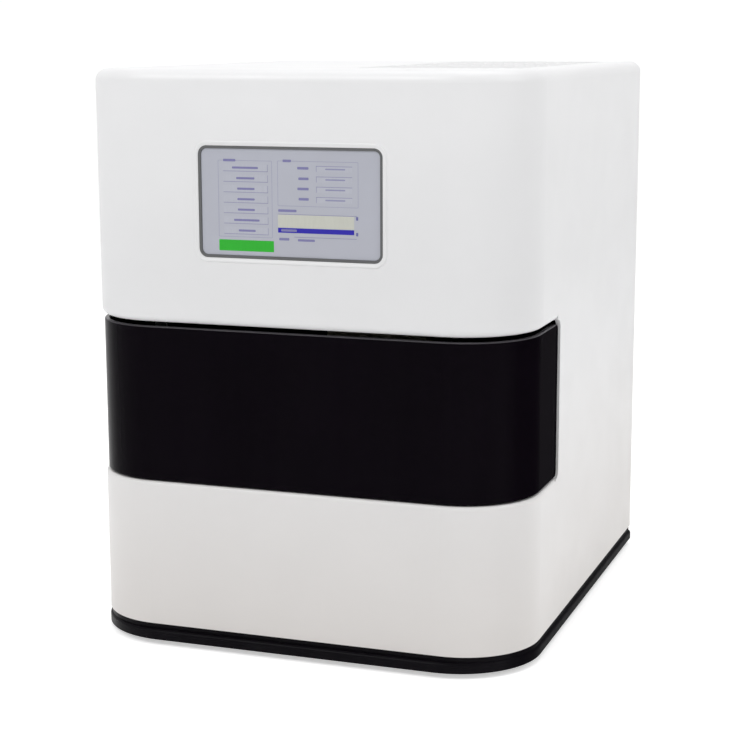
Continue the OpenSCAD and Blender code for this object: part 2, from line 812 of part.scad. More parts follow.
// Stepper motor: square laminated body with cut corners, and a round boss on its output face
module stepper(h, boss, bore, bore_depth) {
    difference() {
        union() {
            linear_extrude(h) intersection() {
                square(motor_side, center = true);
                rotate(45) square(motor_side * 1.27, center = true);
            }
            translate([0, 0, h]) cylinder(h = boss, d = motor_boss_d);
        }
        translate([0, 0, h + boss - bore_depth]) cylinder(h = bore_depth + 1, d = bore);
    }
}

module carousel_motor() {
    color([0.18, 0.18, 0.19]) at_front() translate([-gear_centres, carousel_v, deck_low]) mirror([0, 0, 1])
        stepper(motor_h, 2, motor_shaft_d + 2 * run_gap, 10);
}

module motor_pinion() {
    color([0.80, 0.70, 0.42]) at_front() translate([-gear_centres, carousel_v, gear_low]) {
        translate([0, 0, -2]) linear_extrude(gear_t + 4)
            rotate(180 / pinion_teeth) gear_outline(pinion_teeth);
        cylinder(h = deck_low - motor_h + 6 - gear_low, d = motor_shaft_d);
        translate([0, 0, gear_t + 2]) cylinder(h = 6, d = 18);
    }
}

// Oven

module oven_block() {
    h = oven_top - oven_low;
    color([0.78, 0.78, 0.77]) at_front() difference() {
        block(0, oven_v - oven_side / 2, oven_low, [oven_side, oven_side, h]);
        translate([0, oven_v, oven_low - 1]) cylinder(h = h - oven_roof + 1, d = oven_bore);
        translate([0, oven_v, oven_low]) cylinder(h = h + 1, d = 4);
        for (x = [-1, 1], v = [-1, 1])
            translate([x * heater_x, oven_v + v * heater_x, oven_low + 12])
                cylinder(h = h, d = heater_d + 2 * run_gap);
    }
}

module oven_jacket() {
    h = oven_top - oven_low;
    middle = (oven_out - jacket_t) / 2;
    color([0.85, 0.84, 0.78]) at_front() {
        for (s = [-1, 1]) {
            block(s * middle, oven_v - oven_side / 2, oven_low, [jacket_t, oven_side, h]);
            block(0, oven_v + s * middle - jacket_t / 2, oven_low, [oven_out, jacket_t, h]);
        }
    }
}

module cartridge_heaters() {
    color([0.80, 0.78, 0.74]) at_front()
        for (x = [-1, 1], v = [-1, 1])
            translate([x * heater_x, oven_v + v * heater_x, oven_low + 14])
                cylinder(h = oven_top - oven_low - 15, d = heater_d);
}

// Needle lift

module lift_bridge() {
    color([0.70, 0.71, 0.72]) at_front() difference() {
        block(0, oven_v - bridge_d / 2, oven_top, [bridge_w, bridge_d, bridge_t]);
        translate([0, oven_v, oven_top - 1]) cylinder(h = bridge_t + 2, d = 4);
        translate([0, oven_v + screw_back, oven_top - 1])
            cylinder(h = bridge_t + 2, d = screw_d + 2 * run_gap);
    }
}

module needle_rods() {
    low = oven_top + bridge_t;
    color([0.82, 0.82, 0.84]) at_front()
        for (s = [-1, 1]) translate([s * rod_x, oven_v, low]) {
            cylinder(h = top_plate_low - low, d = rod_d);
            cylinder(h = carriage_rest - needle_travel - 1 - low, d = rod_d + 4);
        }
}

module lift_top_plate() {
    color([0.70, 0.71, 0.72]) at_front() difference() {
        translate([0, oven_v + 14, top_plate_low]) linear_extrude(bridge_t) rounded_rect(100, 90, 8);
        translate([0, oven_v + screw_back, top_plate_low - 1])
            cylinder(h = bridge_t + 2, d = motor_boss_d + 2 * fit_gap);
    }
}

module needle_motor() {
    color([0.18, 0.18, 0.19]) at_front()
        translate([0, oven_v + screw_back, top_plate_low + bridge_t + motor_h]) mirror([0, 0, 1])
            stepper(motor_h, 2, screw_d + 2 * run_gap, screw_socket);
}

module needle_screw() {
    low = oven_top + 1;
    top = top_plate_low + bridge_t - 2 + screw_socket - 1;
    color([0.82, 0.82, 0.84]) at_front() translate([0, oven_v + screw_back, low])
        cylinder(h = top - low, d = screw_d);
}

// Carriage of a lift: a plate with two rod bores and a nut bore
module carriage(z, back) {
    bush = rod_d + 2 * bush_wall;
    nut = screw_d + 2 * bush_wall;
    front = -rod_d / 2 - bush_wall - 5;
    difference() {
        translate([-carriage_half, oven_v + front, z])
            cube([2 * carriage_half, back - front + nut / 2 + 5, carriage_t]);
        for (s = [-1, 1]) translate([s * rod_x, oven_v, z - 1]) cylinder(h = carriage_t + 2, d = bush);
        translate([0, oven_v + back, z - 1]) cylinder(h = carriage_t + 2, d = nut);
    }
}

// The bushes and the nut of a carriage
module carriage_bushes(z, back) {
    for (p = [[-rod_x, 0, rod_d], [rod_x, 0, rod_d], [0, back, screw_d]])
        translate([p[0], oven_v + p[1], z]) difference() {
            cylinder(h = carriage_t, d = p[2] + 2 * bush_wall);
            translate([0, 0, -1]) cylinder(h = carriage_t + 2, d = p[2] + 2 * run_gap);
        }
}

module needle_carriage() {
    color([0.45, 0.46, 0.48]) at_front() carriage(carriage_rest, screw_back);
}

module needle_bushes() {
    color([0.78, 0.64, 0.34]) at_front() carriage_bushes(carriage_rest, screw_back);
}

module sampling_needle() {
    color([0.85, 0.85, 0.87]) at_front() translate([0, oven_v, 0]) {
        translate([0, 0, carriage_rest - needle_hub_h]) cylinder(h = needle_hub_h, d = 9);
        translate([0, 0, needle_tip + 3])
            cylinder(h = carriage_rest - needle_hub_h - needle_tip - 3, d = needle_d);
        translate([0, 0, needle_tip]) cylinder(h = 3, d1 = 0.3, d2 = needle_d);
    }
}

// Vial lifter

module lifter_motor() {
    color([0.18, 0.18, 0.19]) at_front() translate([0, oven_v + lifter_back, base_top])
        stepper(flat_motor_h - 2, 2, screw_d + 2 * run_gap, screw_socket);
}

module lifter_screw() {
    low = base_top + flat_motor_h - screw_socket + 1;
    color([0.82, 0.82, 0.84]) at_front() translate([0, oven_v + lifter_back, low])
        cylinder(h = deck_low - 0.5 - low, d = screw_d);
}

module lifter_rods() {
    color([0.82, 0.82, 0.84]) at_front()
        for (s = [-1, 1]) translate([s * rod_x, oven_v, base_top])
            cylinder(h = deck_low - base_top, d = rod_d);
}

module lifter_carriage() {
    color([0.45, 0.46, 0.48]) at_front() carriage(lifter_rest, lifter_back);
}

module lifter_bushes() {
    color([0.78, 0.64, 0.34]) at_front() carriage_bushes(lifter_rest, lifter_back);
}

module lifter_plunger() {
    color([0.80, 0.80, 0.82]) at_front() translate([0, oven_v, lifter_rest + carriage_t]) {
        cylinder(h = plunger_top - 1 - lifter_rest - carriage_t, d = plunger_d - 2);
        translate([0, 0, plunger_top - 6 - lifter_rest - carriage_t]) cylinder(h = 6, d = plunger_d);
    }
}

// Valve

module valve_block() {
    color([0.78, 0.78, 0.77]) at_front()
        block(valve_x, valve_v - valve_block_d / 2, ceiling_top, [valve_block_w, valve_block_d, valve_block_h]);
}

module valve_body() {
    color([0.80, 0.81, 0.83]) at_front() translate([valve_x, valve_v, valve_base]) {
        difference() {
            cylinder(h = valve_h, d = valve_d);
            translate([0, 0, valve_h - valve_seat_h])
                cylinder(h = valve_seat_h + 1, d = valve_seat_d + 2 * run_gap);
        }
        for (i = [0:5]) rotate(60 * i) translate([valve_d / 2 - 1, 0, 7]) rotate([0, 90, 0])
            cylinder(h = port_l + 1, d = 6, $fn = 32);
    }
}

module valve_rotor() {
    low = valve_base + valve_h - valve_seat_h;
    color([0.25, 0.25, 0.27]) at_front() translate([valve_x, valve_v, low]) {
        cylinder(h = valve_seat_h - 1, d = valve_seat_d);
        cylinder(h = valve_seat_h + 18, d = stem_d);
        translate([0, 0, valve_seat_h + 2]) rotate(15) block(0, -3, 0, [26, 6, 5]);
    }
}

module valve_actuator() {
    low = valve_base + valve_h + 12;
    color([0.16, 0.16, 0.17]) at_front() {
        difference() {
            block(valve_x, valve_v - actuator_d / 2, low, [actuator_w, actuator_d, actuator_h]);
            translate([valve_x, valve_v, low - 1]) cylinder(h = 11, d = stem_d + 2 * run_gap);
        }
        for (s = [-1, 1])
            block(valve_x + s * (actuator_w - actuator_leg) / 2, valve_v - 12, valve_base,
                [actuator_leg, 24, low - valve_base]);
    }
}

module sample_loop() {
    color([0.80, 0.80, 0.82]) at_front() translate([valve_x, valve_v, valve_base + 7]) {
        rotate(60) rotate_extrude(angle = 300) translate([loop_r, 0]) circle(d = tube_d, $fn = 24);
        for (a = [60, 0]) rotate(a) translate([valve_d / 2 + port_l, 0, 0]) rotate([0, 90, 0])
            cylinder(h = loop_r - valve_d / 2 - port_l, d = tube_d, $fn = 24);
    }
}

// Electronics and gas

module gas_manifold() {
    color([0.72, 0.73, 0.75]) at_front() translate([manifold_x, manifold_v, base_top]) {
        block(0, 0, 0, [manifold_w, manifold_d, manifold_h]);
        for (i = [-1:1]) translate([(coil_w + 8) * i, manifold_d / 2, manifold_h]) {
            cylinder(h = 6, d = 16);
            block(0, -coil_w / 2, 6, [coil_w, coil_w, 32]);
        }
    }
}

module power_supply() {
    color([0.74, 0.75, 0.76]) at_front() translate([supply_x, supply_v, base_top]) difference() {
        block(0, 0, 0, [supply_w, supply_d, supply_h]);
        for (i = [0:7]) block(0, 9 + 10 * i, supply_h - 2, [supply_w - 20, 4, 3]);
    }
}

module main_board() {
    post = 10;
    t = 1.6;
    color([0.10, 0.35, 0.20]) at_front() translate([board_x, board_v, ceiling_top]) {
        block(0, 0, post, [board_w, board_l, t]);
        for (s = [-1, 1], v = [8, board_l - 8])
            translate([s * (board_w / 2 - 6), v, 0]) cylinder(h = post, d = 6);
        for (i = [-1:1]) block(22 * i, 16, post + t, [18, 12, 9]);
        block(-14, 62, post + t, [28, 28, 4]);
        block(18, 112, post + t, [30, 40, 14]);
        for (i = [0:2]) translate([-30, 108 + 15 * i, post + t]) cylinder(h = 16, d = 10);
    }
}

// Rear fittings

module mains_inlet() {
    color([0.10, 0.10, 0.11]) at_front() difference() {
        union() {
            upright(inlet_x, inlet_z, panel_v - 22, 22 + panel_t) square([inlet_w, inlet_h], center = true);
            upright(inlet_x, inlet_z, panel_back, 2) rounded_rect(inlet_w + 8, inlet_h + 8, 3);
        }
        upright(inlet_x - 20, inlet_z, panel_back - 14, 17) rounded_rect(24.5, 17.5, 2);
        upright(inlet_x + rocker_x, inlet_z, panel_back - 12, 15) square([15, 23], center = true);
        rear_rod(inlet_x + 6, inlet_z, panel_back - 6, 9, 7);
    }
    color([0.75, 0.75, 0.76]) at_front()
        for (p = [[-7, -2], [0, 2], [7, -2]])
            block(inlet_x - 20 + p[0], panel_back - 14.5, inlet_z + p[1] - 2, [2, 12, 4]);
}

module power_rocker() {
    color([0.60, 0.08, 0.06]) at_front()
        translate([inlet_x + rocker_x - rocker_w / 2, panel_back + rocker_pivot, inlet_z])
            rotate([rocker_tilt, 0, 0]) rotate([90, 0, 90]) linear_extrude(rocker_w)
                polygon([[-4, -9.5], [3.6, -10.4], [1.6, 0], [3.6, 10.4], [-4, 9.5]]);
}

module gas_fittings() {
    color([0.80, 0.68, 0.40]) at_front()
        for (i = [0:2]) difference() {
            union() {
                rear_rod(gas_x + gas_pitch * i, gas_z, panel_v - 14, 14 + panel_t + 3, gas_d);
                for (p = [[panel_back + 5, 5], [panel_v, 4]])
                    translate([gas_x + gas_pitch * i, p[0], gas_z]) rotate([90, 0, 0])
                        cylinder(h = p[1], d = gas_nut, $fn = 6);
                rear_rod(gas_x + gas_pitch * i, gas_z, panel_back, body_d + fitting_reach - panel_back, 8);
            }
            rear_rod(gas_x + gas_pitch * i, gas_z, panel_v - 15, 60, 3.3);
        }
}

module line_gland() {
    color([0.13, 0.13, 0.14]) at_front() difference() {
        union() {
            rear_rod(gland_x, gland_z, panel_v - 12, 12 + panel_t, gland_d);
            for (v = [panel_back + 5, panel_v])
                translate([gland_x, v, gland_z]) rotate([90, 0, 0]) cylinder(h = 5, d = gland_nut, $fn = 6);
            rear_rod(gland_x, gland_z, panel_back + 5, 6, 24);
        }
        rear_rod(gland_x, gland_z, panel_v - 13, 40, 12);
    }
}

module signal_socket() {
    color([0.72, 0.73, 0.75]) at_front() difference() {
        union() {
            upright(socket_x, socket_z, panel_v - 9, 9 + panel_t) square([socket_w, socket_h], center = true);
            upright(socket_x, socket_z, panel_back, 1) rounded_rect(socket_w + 5, socket_h + 2.5, 1);
            upright(socket_x, socket_z, panel_back + 1, 4.5) rounded_rect(18, 9, 2);
        }
        upright(socket_x, socket_z, panel_back - 2, 9) rounded_rect(16.4, 7.4, 1.5);
    }
}

module fan_housing() {
    color([0.10, 0.10, 0.11]) at_front() difference() {
        upright(fan_x, fan_z, panel_v - fan_t, fan_t) rounded_rect(fan_side, fan_side, 4);
        rear_rod(fan_x, fan_z, panel_v - fan_t + 3, fan_t, fan_side - 4);
        difference() {
            rear_rod(fan_x, fan_z, panel_v - fan_t - 1, 5, fan_side - 4);
            rear_rod(fan_x, fan_z, panel_v - fan_t - 1, 5, fan_hub_d);
            for (a = [45, 135]) translate([fan_x, panel_v - fan_t + 1.5, fan_z]) rotate([0, a, 0])
                cube([fan_side, 3, 5], center = true);
        }
        rear_rod(fan_x, fan_z, panel_v - fan_t - 1, 6, 4 + 2 * run_gap);
    }
}

module fan_rotor() {
    hub = 18;
    color([0.16, 0.16, 0.17]) at_front() translate([fan_x, panel_v - fan_t + 3.5, fan_z]) {
        rotate([-90, 0, 0]) cylinder(h = hub, d = fan_hub_d);
        rotate([90, 0, 0]) cylinder(h = 3, d = 4);
        for (i = [0:6]) rotate([0, 360 / 7 * i, 0]) translate([fan_hub_d / 2 - 1, hub / 2, 0])
            rotate([40, 0, 0]) translate([0, -1, -9]) cube([fan_side / 2 - 5.5 - fan_hub_d / 2, 2, 18]);
    }
}

module fan_guard() {
    color([0.80, 0.80, 0.82]) at_front() translate([fan_x, panel_back + 3, fan_z]) {
        rotate([90, 0, 0]) for (r = [10, 18, 26, 34])
            rotate_extrude() translate([r, 0]) circle(d = 2, $fn = 24);
        for (a = [45, 135]) rotate([0, a, 0]) translate([0, -1, 0]) cube([100, 2, 2], center = true);
        for (a = [45:90:315]) rotate([0, a, 0]) translate([50, 0, 0]) rotate([90, 0, 0])
            translate([0, 0, -1]) cylinder(h = 4, d = 7);
    }
}

base_plate();
rubber_feet();
cover_shell();
rear_panel();
rear_screws();
deck_plate();
deck_posts();
bay_liner();
ceiling_plate();
screen_bezel();
touch_panel();
display_module();
visor_door();
pivot_pins();
hinge_bushes();
catch_plate();
catch_magnet();
carousel_plate();
carousel_floor();
carousel_pillars();
carousel_spindle();
carousel_gear();
spindle_nut();
spindle_housing();
spindle_bearings();
carousel_motor();
motor_pinion();
oven_block();
oven_jacket();
cartridge_heaters();
lift_bridge();
needle_rods();
lift_top_plate();
needle_motor();
needle_screw();
needle_carriage();
needle_bushes();
sampling_needle();
lifter_motor();
lifter_screw();
lifter_rods();
lifter_carriage();
lifter_bushes();
lifter_plunger();
valve_block();
valve_body();
valve_rotor();
valve_actuator();
sample_loop();
gas_manifold();
power_supply();
main_board();
mains_inlet();
power_rocker();
gas_fittings();
line_gland();
signal_socket();
fan_housing();
fan_rotor();
fan_guard();
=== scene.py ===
import math

import bpy
import numpy as np
from mathutils import Matrix


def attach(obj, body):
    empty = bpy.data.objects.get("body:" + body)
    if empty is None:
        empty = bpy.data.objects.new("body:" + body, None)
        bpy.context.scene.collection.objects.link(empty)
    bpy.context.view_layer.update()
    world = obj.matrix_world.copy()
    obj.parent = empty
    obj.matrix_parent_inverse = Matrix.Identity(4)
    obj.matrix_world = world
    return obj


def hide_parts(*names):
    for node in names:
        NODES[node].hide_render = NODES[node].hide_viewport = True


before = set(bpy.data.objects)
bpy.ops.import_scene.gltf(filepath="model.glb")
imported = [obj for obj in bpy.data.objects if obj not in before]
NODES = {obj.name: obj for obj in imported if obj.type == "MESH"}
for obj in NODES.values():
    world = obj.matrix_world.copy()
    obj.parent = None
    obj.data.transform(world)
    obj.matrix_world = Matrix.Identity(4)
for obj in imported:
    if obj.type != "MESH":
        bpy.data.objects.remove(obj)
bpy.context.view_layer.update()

MM = 0.001
TAU = 2 * math.pi

# the whole object, in metres
FRONT = -0.2305  # y of the cover's front face
HALF_WIDTH, TOP_Z = 0.2, 0.5
# wrapped gloss given this height has no painted highlight on its top edge
NO_HIGHLIGHT_Z = 1.0  # a height above everything

# places on the part, in millimetres: X, depth V behind the front face, height Z
CAROUSEL_V, CAROUSEL_TOP = 148, 188
POCKETS, POCKET_RING, DOT_RING = 12, 122, 102
OVEN_V, OVEN_Z = 270, 235
NEEDLE_V, LIFTER_V = 304, 310
VALVE_X, VALVE_V = 150, 275
BOARD_X, BOARD_V, BOARD_Z = -148, 230, 309.6
MANIFOLD_X, SUPPLY_X = 113, -116
FAN_X, FAN_Z, BLADES = -105, 405, 7
MAINS_Z, SOCKET_X, FUSE_X = 100.5, -45, -119

# camera: place, yaw, pitch, roll, and focal length in pixels of the photograph
CAMERA = ((0.5584, -1.5964, 0.5289), -19.776, 10.447, -0.223, 1800.3)
PHOTO_PX, SENSOR_MM = 730, 36.0

# light: the world's strength, the glow that the camera sees on the backdrop, and lamps as place, target,
# size and watts
WORLD_LIGHT, BACKDROP_LIFT = 0.48, 0.5
LAMPS = {
    "key": ((-1.2, -2.6, 2.9), (0, 0, 0.4), (1.8, 1.4), 46),
    "fill": ((2.8, -0.5, 1.9), (0, 0, 0.3), (1.6, 1.6), 20),
    "top": ((0.1, 0.5, 2.9), (0, 0, 0.4), (2.2, 2.2), 25),
}


# ---------------------------------------------------------------- materials


def linear(rgb):
    """An 8-bit colour as the linear RGBA that a shader takes."""
    c = np.array(rgb, float) / 255
    c = np.where(c <= 0.04045, c / 12.92, ((c + 0.055) / 1.055) ** 2.4)
    return (*c.tolist(), 1.0)


def shaded(rgb, k):
    """The colour k times as bright, as linear RGBA."""
    c = np.clip(np.array(linear(rgb)[:3]) * k, 0, 1)
    return (*c.tolist(), 1.0)


class Surface:
    """A procedural material in Object coordinates: colour drift, fine grain, roughness drift and bump."""

    def __init__(self, name, rgb, rough, metal=0.0, ior=1.45):
        self.mat = bpy.data.materials.new(name)
        self.mat.use_nodes = True
        self.mat.diffuse_color = linear(rgb)
        self.nodes, self.links = self.mat.node_tree.nodes, self.mat.node_tree.links
        self.bsdf = self.nodes["Principled BSDF"]
        self.coord = self.nodes.new("ShaderNodeTexCoord").outputs["Object"]
        self.rgb, self.rough = rgb, rough
        self.height = None
        self.set("Base Color", linear(rgb))
        self.set("Roughness", rough)
        self.set("Metallic", metal)
        self.set("IOR", ior)
        self.color = None

    def set(self, socket, value):
        """A fixed value on one socket of the shader."""
        self.bsdf.inputs[socket].default_value = value

    def scaled(self, stretch):
        """The Object coordinates times a stretch."""
        mapping = self.nodes.new("ShaderNodeMapping")
        mapping.inputs["Scale"].default_value = stretch
        self.links.new(self.coord, mapping.inputs["Vector"])
        return mapping.outputs["Vector"]

    def noise(self, size, stretch=(1, 1, 1), detail=3.0):
        """Noise whose features are about size metres across, before the stretch."""
        n = self.nodes.new("ShaderNodeTexNoise")
        n.inputs["Scale"].default_value = 1 / size
        n.inputs["Detail"].default_value = detail
        n.inputs["Roughness"].default_value = 0.55
        self.links.new(self.scaled(stretch), n.inputs["Vector"])
        return n.outputs["Fac"]

    def math(self, op, a, b=None, clamp=False):
        """A sum on numbers or outputs, clamped to 0 to 1 where asked."""
        n = self.nodes.new("ShaderNodeMath")
        n.operation = op
        n.use_clamp = clamp
        for i, v in enumerate((a, b)):
            if v is None:
                continue
            if isinstance(v, (int, float)):
                n.inputs[i].default_value = v
            else:
                self.links.new(v, n.inputs[i])
        return n.outputs[0]

    def axis(self, name):
        """The Object coordinate along X, Y or Z, in metres."""
        split = self.nodes.new("ShaderNodeSeparateXYZ")
        self.links.new(self.coord, split.inputs[0])
        return split.outputs[name]

    def ramp(self, value, stops):
        """Colour along stops of (place, linear RGBA)."""
        r = self.nodes.new("ShaderNodeValToRGB")
        els = r.color_ramp.elements
        els[0].position, els[0].color = stops[0]
        els[1].position, els[1].color = stops[-1]
        for place, colour in stops[1:-1]:
            els.new(place).color = colour
        self.links.new(value, r.inputs["Fac"])
        return r.outputs["Color"]

    def mix(self, fac, a, b, blend="MIX"):
        """Two colours blended; 0, 6 and 7 are the sockets for factor and colours."""
        m = self.nodes.new("ShaderNodeMix")
        m.data_type = "RGBA"
        m.blend_type = blend
        for i, v in ((0, fac), (6, a), (7, b)):
            if isinstance(v, (int, float, tuple)):
                m.inputs[i].default_value = v
            else:
                self.links.new(v, m.inputs[i])
        return m.outputs[2]

    def drift(self, size, amount, stretch=(1, 1, 1), warm=0.0):
        """The base colour drifts by amount, in patches of about size metres."""
        k = np.array([1 + warm, 1, 1 - warm])
        a = np.clip(np.array(linear(self.rgb)[:3]) * (1 - amount) * k, 0, 1)
        b = np.clip(np.array(linear(self.rgb)[:3]) * (1 + amount) / k, 0, 1)
        self.color = self.ramp(self.noise(size, stretch), [(0.3, (*a, 1.0)), (0.7, (*b, 1.0))])
        return self

    def rough_drift(self, size, amount, stretch=(1, 1, 1)):
        """The roughness drifts by amount either way, in patches of about size metres."""
        n = self.nodes.new("ShaderNodeMapRange")
        n.inputs["From Min"].default_value = 0.3
        n.inputs["From Max"].default_value = 0.7
        n.inputs["To Min"].default_value = max(0.0, self.rough - amount)
        n.inputs["To Max"].default_value = min(1.0, self.rough + amount)
        self.links.new(self.noise(size, stretch), n.inputs["Value"])
        self.links.new(n.outputs[0], self.bsdf.inputs["Roughness"])
        return self

    def bump(self, height, distance, strength=1.0):
        """Relief of distance metres, over any relief there is already."""
        b = self.nodes.new("ShaderNodeBump")
        b.inputs["Strength"].default_value = strength
        b.inputs["Distance"].default_value = distance
        self.links.new(height, b.inputs["Height"])
        if self.height is not None:
            self.links.new(self.height, b.inputs["Normal"])
        self.height = b.outputs["Normal"]
        return self

    def grain(self, size, distance, stretch=(1, 1, 1)):
        """Relief from noise of about size metres."""
        return self.bump(self.noise(size, stretch, detail=2.0), distance)

    def done(self):
        """Links colour and relief to the shader and gives the material."""
        if self.color is not None:
            self.links.new(self.color, self.bsdf.inputs["Base Color"])
        if self.height is not None:
            self.links.new(self.height, self.bsdf.inputs["Normal"])
        return self.mat


def moulded(name, rgb, rough, drift=0.02, grain=0.0007, depth=0.00002):
    """Moulded plastic: slight drift of colour, spark-eroded grain."""
    s = Surface(name, rgb, rough)
    s.drift(0.05, drift).rough_drift(0.02, min(0.06, rough / 3))
    return s.grain(grain, depth).done()


def brushed(name, rgb, rough, axis):
    """Brushed metal: fine lines along one axis."""
    stretch = [1.0, 1.0, 1.0]
    stretch["xyz".index(axis)] = 0.02
    s = Surface(name, rgb, rough, metal=1.0)
    s.drift(0.0006, 0.06, tuple(stretch)).rough_drift(0.0009, 0.1, tuple(stretch))
    return s.grain(0.0003, 0.000008, tuple(stretch)).done()


def turned(name, rgb, rough):
    """Turned or ground metal: fine rings, seen as lines across the axis z."""
    s = Surface(name, rgb, rough, metal=1.0)
    s.drift(0.0008, 0.05, (0.02, 0.02, 1)).rough_drift(0.004, 0.07)
    return s.grain(0.0003, 0.000006, (0.02, 0.02, 1)).done()


def cast(name, rgb, rough, drift=0.05, grain=0.0008, depth=0.00005):
    """Cast, blasted or plated metal."""
    s = Surface(name, rgb, rough, metal=1.0)
    s.drift(0.02, drift).rough_drift(0.006, 0.08)
    return s.grain(grain, depth).done()


def cover_white(name, rgb, rough, shaded_low_rgb):
    """The cover's white paint with a fine orange peel: whiter above, and a painted shade makes it warmer and
    greyer near the base.
    """
    s = Surface(name, rgb, rough, ior=1.46)
    # painted shade: the colour grades by height, darker and warmer low down
    painted_shade = s.ramp(s.math("MULTIPLY", s.axis("Z"), 1 / TOP_Z), [
        (0.02, linear(shaded_low_rgb)), (0.5, shaded(rgb, 0.945)), (0.66, shaded(rgb, 0.938)), (0.95, linear(rgb))])
    cloud = s.ramp(s.noise(0.11), [(0.3, shaded((255, 255, 255), 0.975)), (0.7, (1, 1, 1, 1))])
    s.color = s.mix(1.0, painted_shade, cloud, "MULTIPLY")
    s.rough_drift(0.03, 0.05)
    s.grain(0.0035, 0.000018)
    return s.grain(0.0005, 0.000006).done()


def board_green(name):
    """Printed circuit board: green mask with copper tracks that run in steps, and tinned holes."""
    s = Surface(name, (18, 84, 48), 0.35, ior=1.5)
    brick = s.nodes.new("ShaderNodeTexBrick")
    brick.offset = 0.37
    brick.inputs["Scale"].default_value = 1.0
    brick.inputs["Brick Width"].default_value = 0.021
    brick.inputs["Row Height"].default_value = 0.0021
    brick.inputs["Mortar Size"].default_value = 0.0003
    brick.inputs["Color1"].default_value = linear((16, 76, 44))
    brick.inputs["Color2"].default_value = linear((20, 92, 52))
    brick.inputs["Mortar"].default_value = linear((52, 132, 74))
    s.links.new(s.coord, brick.inputs["Vector"])
    holes = s.nodes.new("ShaderNodeTexVoronoi")
    holes.inputs["Scale"].default_value = 1 / 0.006
    s.links.new(s.coord, holes.inputs["Vector"])
    dots = s.math("LESS_THAN", holes.outputs["Distance"], 0.13)
    s.color = s.mix(dots, brick.outputs["Color"], linear((196, 190, 170)))
    s.bump(brick.outputs["Fac"], 0.00003)
    return s.done()


def insulation(name):
    """Pressed mineral board in a woven glass cover."""
    s = Surface(name, (206, 198, 178), 0.9, ior=1.4)
    w = s.nodes.new("ShaderNodeTexWave")
    w.bands_direction = "DIAGONAL"
    w.inputs["Scale"].default_value = 1 / 0.006
    w.inputs["Distortion"].default_value = 1.5
    s.links.new(s.coord, w.inputs["Vector"])
    s.drift(0.012, 0.08, warm=0.01)
    s.bump(w.outputs["Fac"], 0.0003, 0.6)
    return s.grain(0.0008, 0.0002).done()


def laminated(name, rgb):
    """Motor body of thin stacked sheets."""
    s = Surface(name, rgb, 0.42, ior=1.5)
    w = s.nodes.new("ShaderNodeTexWave")
    w.bands_direction = "Z"
    w.inputs["Scale"].default_value = 1 / 0.0035
    s.links.new(s.coord, w.inputs["Vector"])
    s.drift(0.02, 0.1)
    s.bump(w.outputs["Fac"], 0.00012, 0.7)
    return s.grain(0.0006, 0.00002).done()


def wrapped_gloss(name, rgb, rough, ior, end, highlight_z=NO_HIGHLIGHT_Z):
    """Polished black, bent round the corners.

    The gloss is full on the face, in upright streaks, and falls to the level end on the sides. Above the
    given height the top edge gets a painted highlight: a paler grey colour and fuller gloss.
    """
    s = Surface(name, rgb, rough, ior=ior)
    reach = s.math("MULTIPLY", s.math("ABSOLUTE", s.axis("X")), 1 / HALF_WIDTH)
    stops = [(0.90, 0.5), (0.94, 0.12), (0.97, 0.04), (0.985, 1.5 * end), (1.0, end)]
    level = s.ramp(reach, [(x, (v, v, v, 1.0)) for x, v in stops])
    # mask of the top edge above the given height, where the painted highlight goes
    painted_highlight_mask = s.math("GREATER_THAN", s.axis("Z"), highlight_z)
    level = s.mix(painted_highlight_mask, level, (0.8, 0.8, 0.8, 1.0))
    streak = s.ramp(s.noise(0.02, (1, 1, 0.04)), [(0.35, (0.75, 0.75, 0.75, 1)), (0.7, (1, 1, 1, 1))])
    s.links.new(s.mix(1.0, level, streak, "MULTIPLY"), s.bsdf.inputs["Specular IOR Level"])
    s.drift(0.08, 0.12)
    # painted highlight: the visor's top edge is coloured a paler grey
    s.color = s.mix(painted_highlight_mask, s.color, linear((74, 72, 76)))
    s.rough_drift(0.03, 0.03, (1, 1, 0.25))
    return s.grain(0.006, 0.000006).done()


def panel_glass(name, rgb):
    """The screen's lit face: even grey-lilac behind a matt touch film."""
    s = Surface(name, rgb, 0.35, ior=1.45)
    s.drift(0.05, 0.02, warm=0.004)
    s.set("Emission Strength", 0.12)
    s.set("Emission Color", linear(rgb))
    return s.grain(0.0006, 0.000004).done()


def ink(name, rgb, glow=0.12):
    """One colour of the screen's picture, with the faint columns of its pixels."""
    s = Surface(name, rgb, 0.4, ior=1.4)
    s.drift(0.0012, 0.03, (1, 1, 0.1))
    s.set("Emission Strength", glow)
    s.set("Emission Color", linear(rgb))
    return s.grain(0.0004, 0.000003).done()


